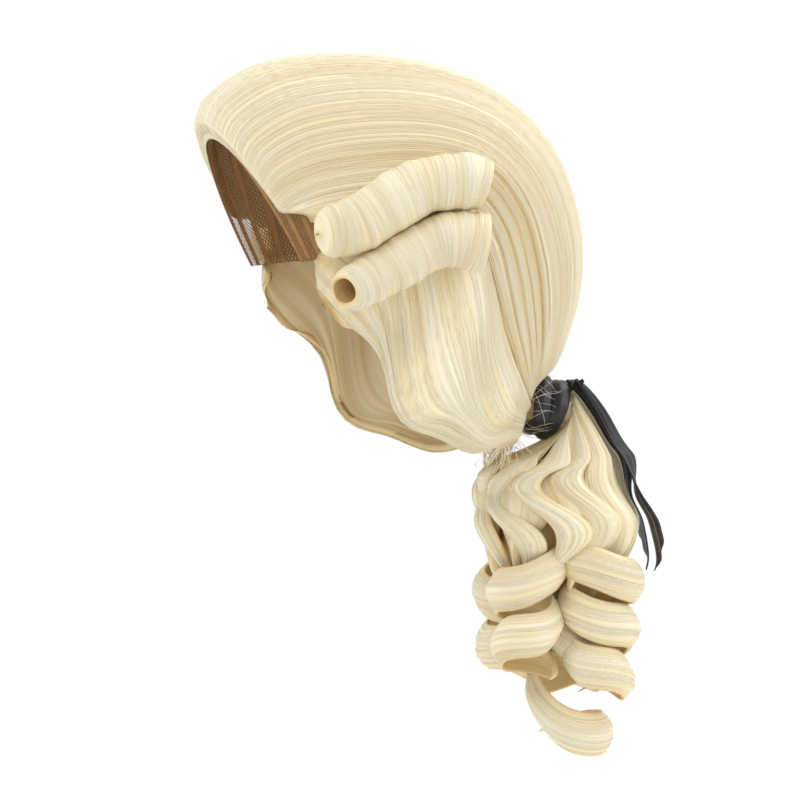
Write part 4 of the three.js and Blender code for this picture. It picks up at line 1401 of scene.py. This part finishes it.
class WIG_OT_ribbon_tails(WigOperator, bpy.types.Operator):
    """Hang the two free ends of the ribbon"""

    bl_idname = "wig.ribbon_tails"
    bl_label = "Ribbon tails"

    def execute(self, context):
        form = WigForm(context.scene.wig_sizes)
        for name, side in SIDES:
            self.tail(form, name, side)
        return {"FINISHED"}

    def path(self, form):
        """Places on the queue that follow one another over the ribbon's length."""
        sizes = form.sizes
        rows = Sections(RIBBON_COLUMNS, RIBBON_ROWS)
        place, run, found, before = 1 + 1 / 3.2, 0.0, [], None
        while run < sizes.ribbon_length:
            lift = self.lift(form, rows, run / sizes.ribbon_length)
            point = form.queue_point(np.array(place), form.RIBBON_SPREAD, lift)
            if before is not None:
                run += float(np.linalg.norm(point - before))
            found.append(place)
            before = point
            place += 0.05
        return np.array(found), rows

    def lift(self, form, rows, share):
        row = rows.at(np.asarray(share) * (len(RIBBON_ROWS) - 1))
        return form.sizes.ribbon_lift + row.lift * form.sizes.ribbon_width

    def tail(self, form, name, side):
        """One free end, twisted a little, with a fold along it and its end cut aslant."""
        sizes = form.sizes
        trail, rows = self.path(form)
        across = np.linspace(-1, 1, 21)[None, :]
        share = share_column(90) * (1 - 0.08 * (1 + across))
        place = np.interp(share, np.linspace(0, 1, len(trail)), trail)
        lift = self.lift(form, rows, share)
        middle = form.queue_point(place, form.RIBBON_SPREAD, lift)
        out = unit(form.queue_point(place, form.RIBBON_SPREAD, lift + sizes.ribbon_width) - middle)
        cross = unit(np.cross(unit(np.gradient(middle, axis=0)), out))
        twist = 0.3 - 0.5 * smooth_step(0.05, 0.25, share) + 0.6 * smooth_step(0.4, 0.7, share)
        c, s = np.cos(twist)[..., None], np.sin(twist)[..., None]
        turned, raised = cross * c + out * s, out * c - cross * s
        width = rows.at(share * (len(RIBBON_ROWS) - 1)).width * sizes.ribbon_width
        fold = (1.8 * (1 - smooth_step(0, 0.5, share)) + 0.5) * MM
        height = fold * np.cos(math.pi * 1.9 * across + 2.2 * share)
        places = middle + turned * (across * width / 2)[..., None] + raised * height[..., None]
        flip = np.array([side, 1, 1])
        maps = points_of(across / 2 + 0.5, share)
        piece = laid_grid("ribbon_satin_" + name, places * flip, maps, raised * flip)
        wall(piece, np.ones(len(piece.data.vertices)), sizes.ribbon_thickness)
        finish_piece(piece, "satin", ["ribbon_tail_" + name])


OPERATORS = (
    WIG_OT_studio,
    WIG_OT_cap,
    WIG_OT_crown_hair,
    WIG_OT_side_hair,
    WIG_OT_side_rolls,
    WIG_OT_tie_band,
    WIG_OT_queue,
    WIG_OT_ribbon_tails,
)


class WIG_PT_panel(bpy.types.Panel):
    """The wig's steps in the sidebar"""

    bl_label = "Powdered Wig"
    bl_space_type = "VIEW_3D"
    bl_region_type = "UI"
    bl_category = "Wig"

    def draw(self, context):
        for step in OPERATORS:
            self.layout.operator(step.bl_idname)


CLASSES = (WigSizes, WigColours, WigStudio, *OPERATORS, WIG_PT_panel)


def register():
    for one in CLASSES:
        bpy.utils.register_class(one)
    bpy.types.Scene.wig_sizes = PointerProperty(type=WigSizes)
    bpy.types.Scene.wig_colours = PointerProperty(type=WigColours)
    bpy.types.Scene.wig_studio = PointerProperty(type=WigStudio)


def unregister():
    del bpy.types.Scene.wig_sizes
    del bpy.types.Scene.wig_colours
    del bpy.types.Scene.wig_studio
    for one in reversed(CLASSES):
        bpy.utils.unregister_class(one)


def main():
    register()
    for step in OPERATORS:
        group, name = step.bl_idname.split(".")
        getattr(getattr(bpy.ops, group), name)()


if __name__ == "__main__":
    main()
